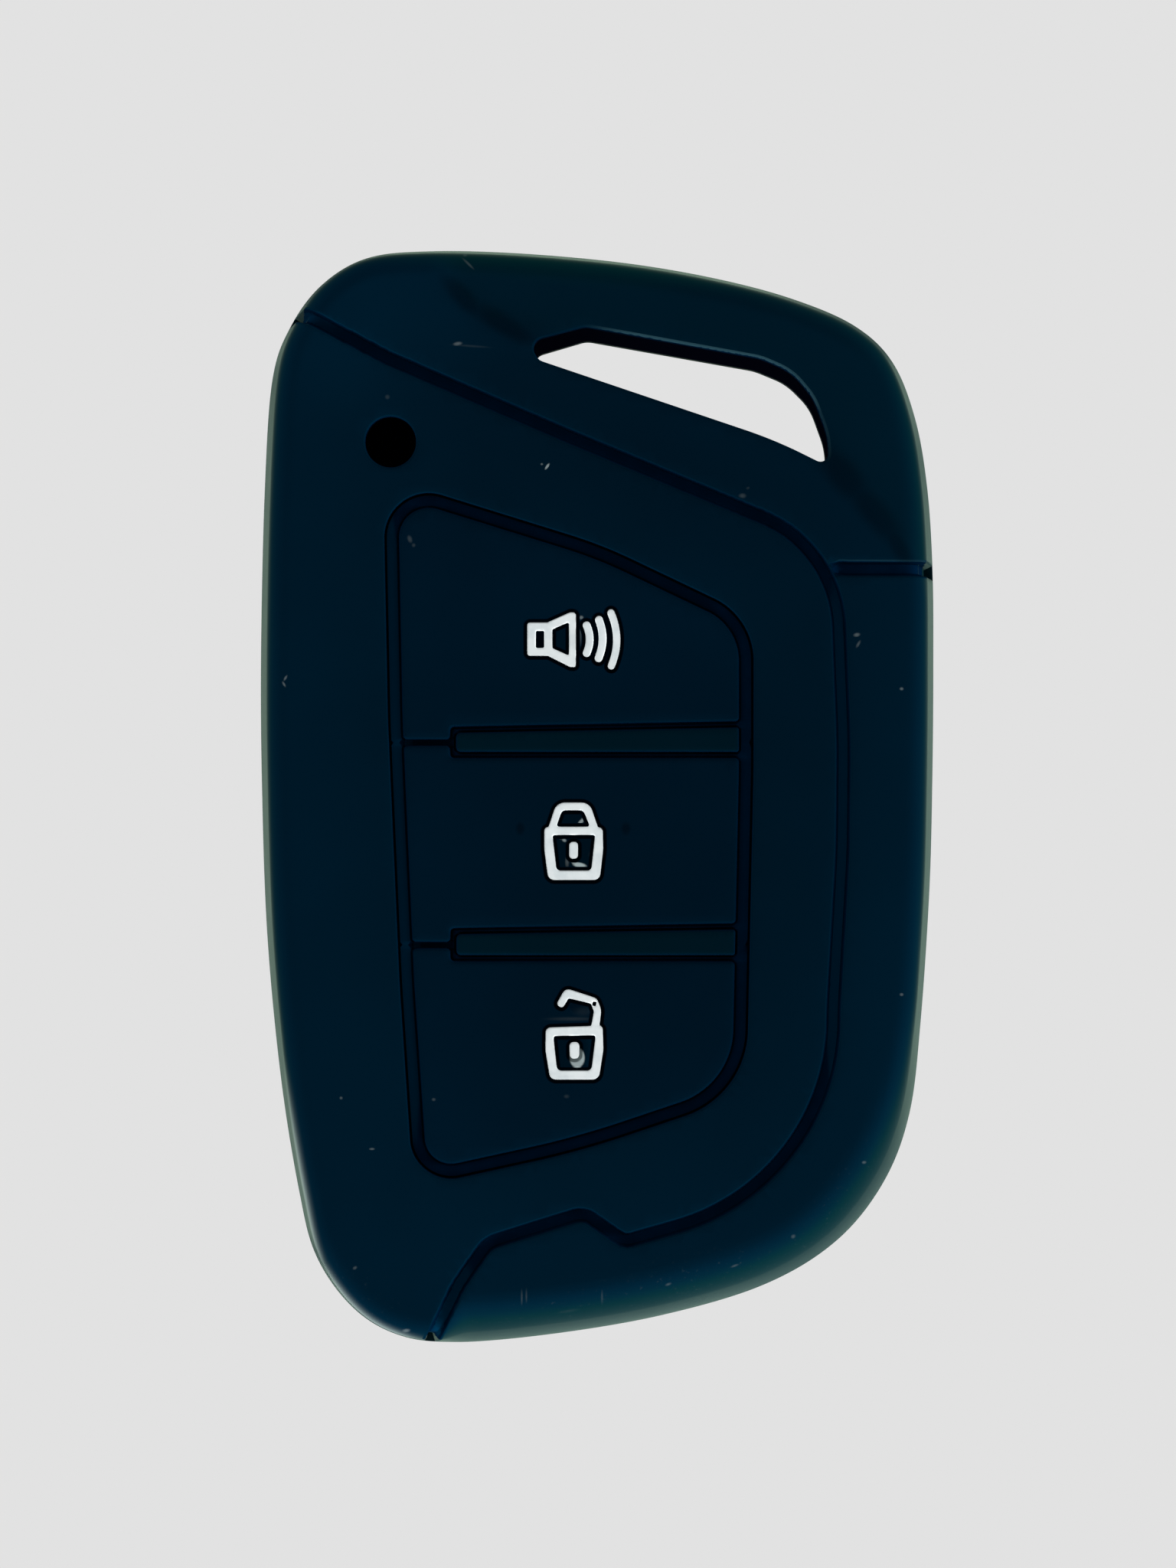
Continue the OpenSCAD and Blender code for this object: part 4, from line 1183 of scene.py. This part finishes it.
def pad_part(name):
    def part(C, N):
        """0 the button's face, 1 its rounded edge, 2 walls and underside, 3 what the symbols enclose, 4 their recesses."""
        P = C[:, :2]
        top = C[:, 2] > COVER_T - 0.45
        out = np.zeros(len(C), int)
        for _, Q, windows in INKS[name]:
            r = np.where(inside(P, Q), 1, -1) * distance(P, Q)
            out[r > 0] = 3
        sunk = np.full(len(C), -9.0)
        for _, Q, windows in INKS[name]:
            r = np.where(inside(P, Q), 1, -1) * distance(P, Q)
            for w in windows:
                r = np.minimum(r, np.where(inside(P, w), -1, 1) * distance(P, w))
            sunk = np.maximum(sunk, r)
        out[sunk > -MOAT - 0.01] = 4
        out[distance(P, PADS[name]) < 0.16] = 1
        out[((N[:, 2] < 0.6) & (sunk < -MOAT - 0.05)) | ~top] = 2
        return out
    return part


def bar_part(name):
    def part(C, N):
        out = np.where(distance(C[:, :2], BARS[name]) < 0.12, 1, 0)
        out[(N[:, 2] < 0.6) | (C[:, 2] < COVER_T - 0.45)] = 2
        return out
    return part


def web_part(C, N):
    return np.where(N[:, 2] > 0.8, 0, 1)


skin = build_skin()
dress(skin, [SKIN, SKIN_LIP, WALLS, FLOORS, INSIDE], skin_part)
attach(skin, "cover")
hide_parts("front_shell", "back_shell")

for name in ("upper", "lower"):
    o = build_bar(name)
    dress(o, [BAR, SKIN_LIP, WALLS], bar_part(name))
    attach(o, "cover")
    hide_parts(f"{name}_bar")

for name in ("horn", "lock", "unlock"):
    o = build_pad(name)
    dress(o, [PAD, PAD_LIP, WALLS, WELL, MOATS], pad_part(name))
    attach(o, f"{name}_key")
    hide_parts(f"{name}_pad")
    for node, P, windows in INKS[name]:
        o = build_ink(node, P, windows)
        dress(o, [INK])
        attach(o, f"{name}_key")
        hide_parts(node)
    o = build_web(name)
    dress(o, [FLOORS, WALLS], web_part)
    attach(o, "cover")
    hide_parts(f"{name}_web")
    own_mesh(o)

# ------------------------------------------------------------------ floor, light, camera

floor_mesh = bpy.data.meshes.new("floor")
floor_mesh.from_pydata([(-2, -2, 0), (2, -2, 0), (2, 2, 0), (-2, 2, 0)], [], [(0, 1, 2, 3)])
floor = bpy.data.objects.new("floor", floor_mesh)
bpy.context.scene.collection.objects.link(floor)
floor.location.z = -0.00002
m = Nodes("pale_floor")
m.b.inputs["Base Color"].default_value = (0.0, 0.0, 0.0, 1)
m.b.inputs["Roughness"].default_value = 1.0
m.b.inputs["Specular IOR Level"].default_value = 0.0
m.b.inputs["Emission Color"].default_value = (1, 1, 1, 1)
m.b.inputs["Emission Strength"].default_value = 0.7605
floor.data.materials.append(m.mat)

world = bpy.data.worlds.new("studio")
bpy.context.scene.world = world
world.use_nodes = True
world.node_tree.nodes["Background"].inputs[0].default_value = (1, 1, 1, 1)
world.node_tree.nodes["Background"].inputs[1].default_value = 0.3789


def area(name, pos, size, power, colour=(1, 1, 1), aim=(0, 0, 0.01)):
    d = bpy.data.lights.new(name, "AREA")
    d.shape = "RECTANGLE"
    d.size, d.size_y = size
    d.energy = power
    d.color = colour
    o = bpy.data.objects.new(name, d)
    bpy.context.scene.collection.objects.link(o)
    o.location = pos
    o.rotation_mode = "QUATERNION"
    o.rotation_quaternion = (Vector(aim) - Vector(pos)).to_track_quat("-Z", "Y")
    return o


def panel(name, azimuth, height, intensity, size=0.3, away=0.8):
    """A square soft light at a bearing and a height in degrees, aimed at the cover."""
    a, e = math.radians(azimuth), math.radians(height)
    pos = (away * math.cos(e) * math.cos(a), away * math.cos(e) * math.sin(a), away * math.sin(e) + 0.01)
    return area(name, pos, (size, size), 10 * intensity)


panel("right", 0, 8, 0.76)
panel("front_right", -60, 8, 0.487)
panel("left", 180, 8, 0.373)
panel("front_left", -120, 8, 0.377)
panel("front", -90, 3, 0.956)
panel("back", 90, 8, 0.19)

cam_data = bpy.data.cameras.new("camera")
cam = bpy.data.objects.new("camera", cam_data)
bpy.context.scene.collection.objects.link(cam)
cam.location = (-0.608 * MM, 0.836 * MM, 0.400)
cam.rotation_euler = (0, 0, 0)
cam_data.sensor_width = 36
cam_data.lens = 18 / (1024 * 0.05068 / 392.5)
cam_data.clip_start = 0.01
cam_data.clip_end = 10
bpy.context.scene.camera = cam
bpy.context.scene.view_settings.view_transform = "Standard"
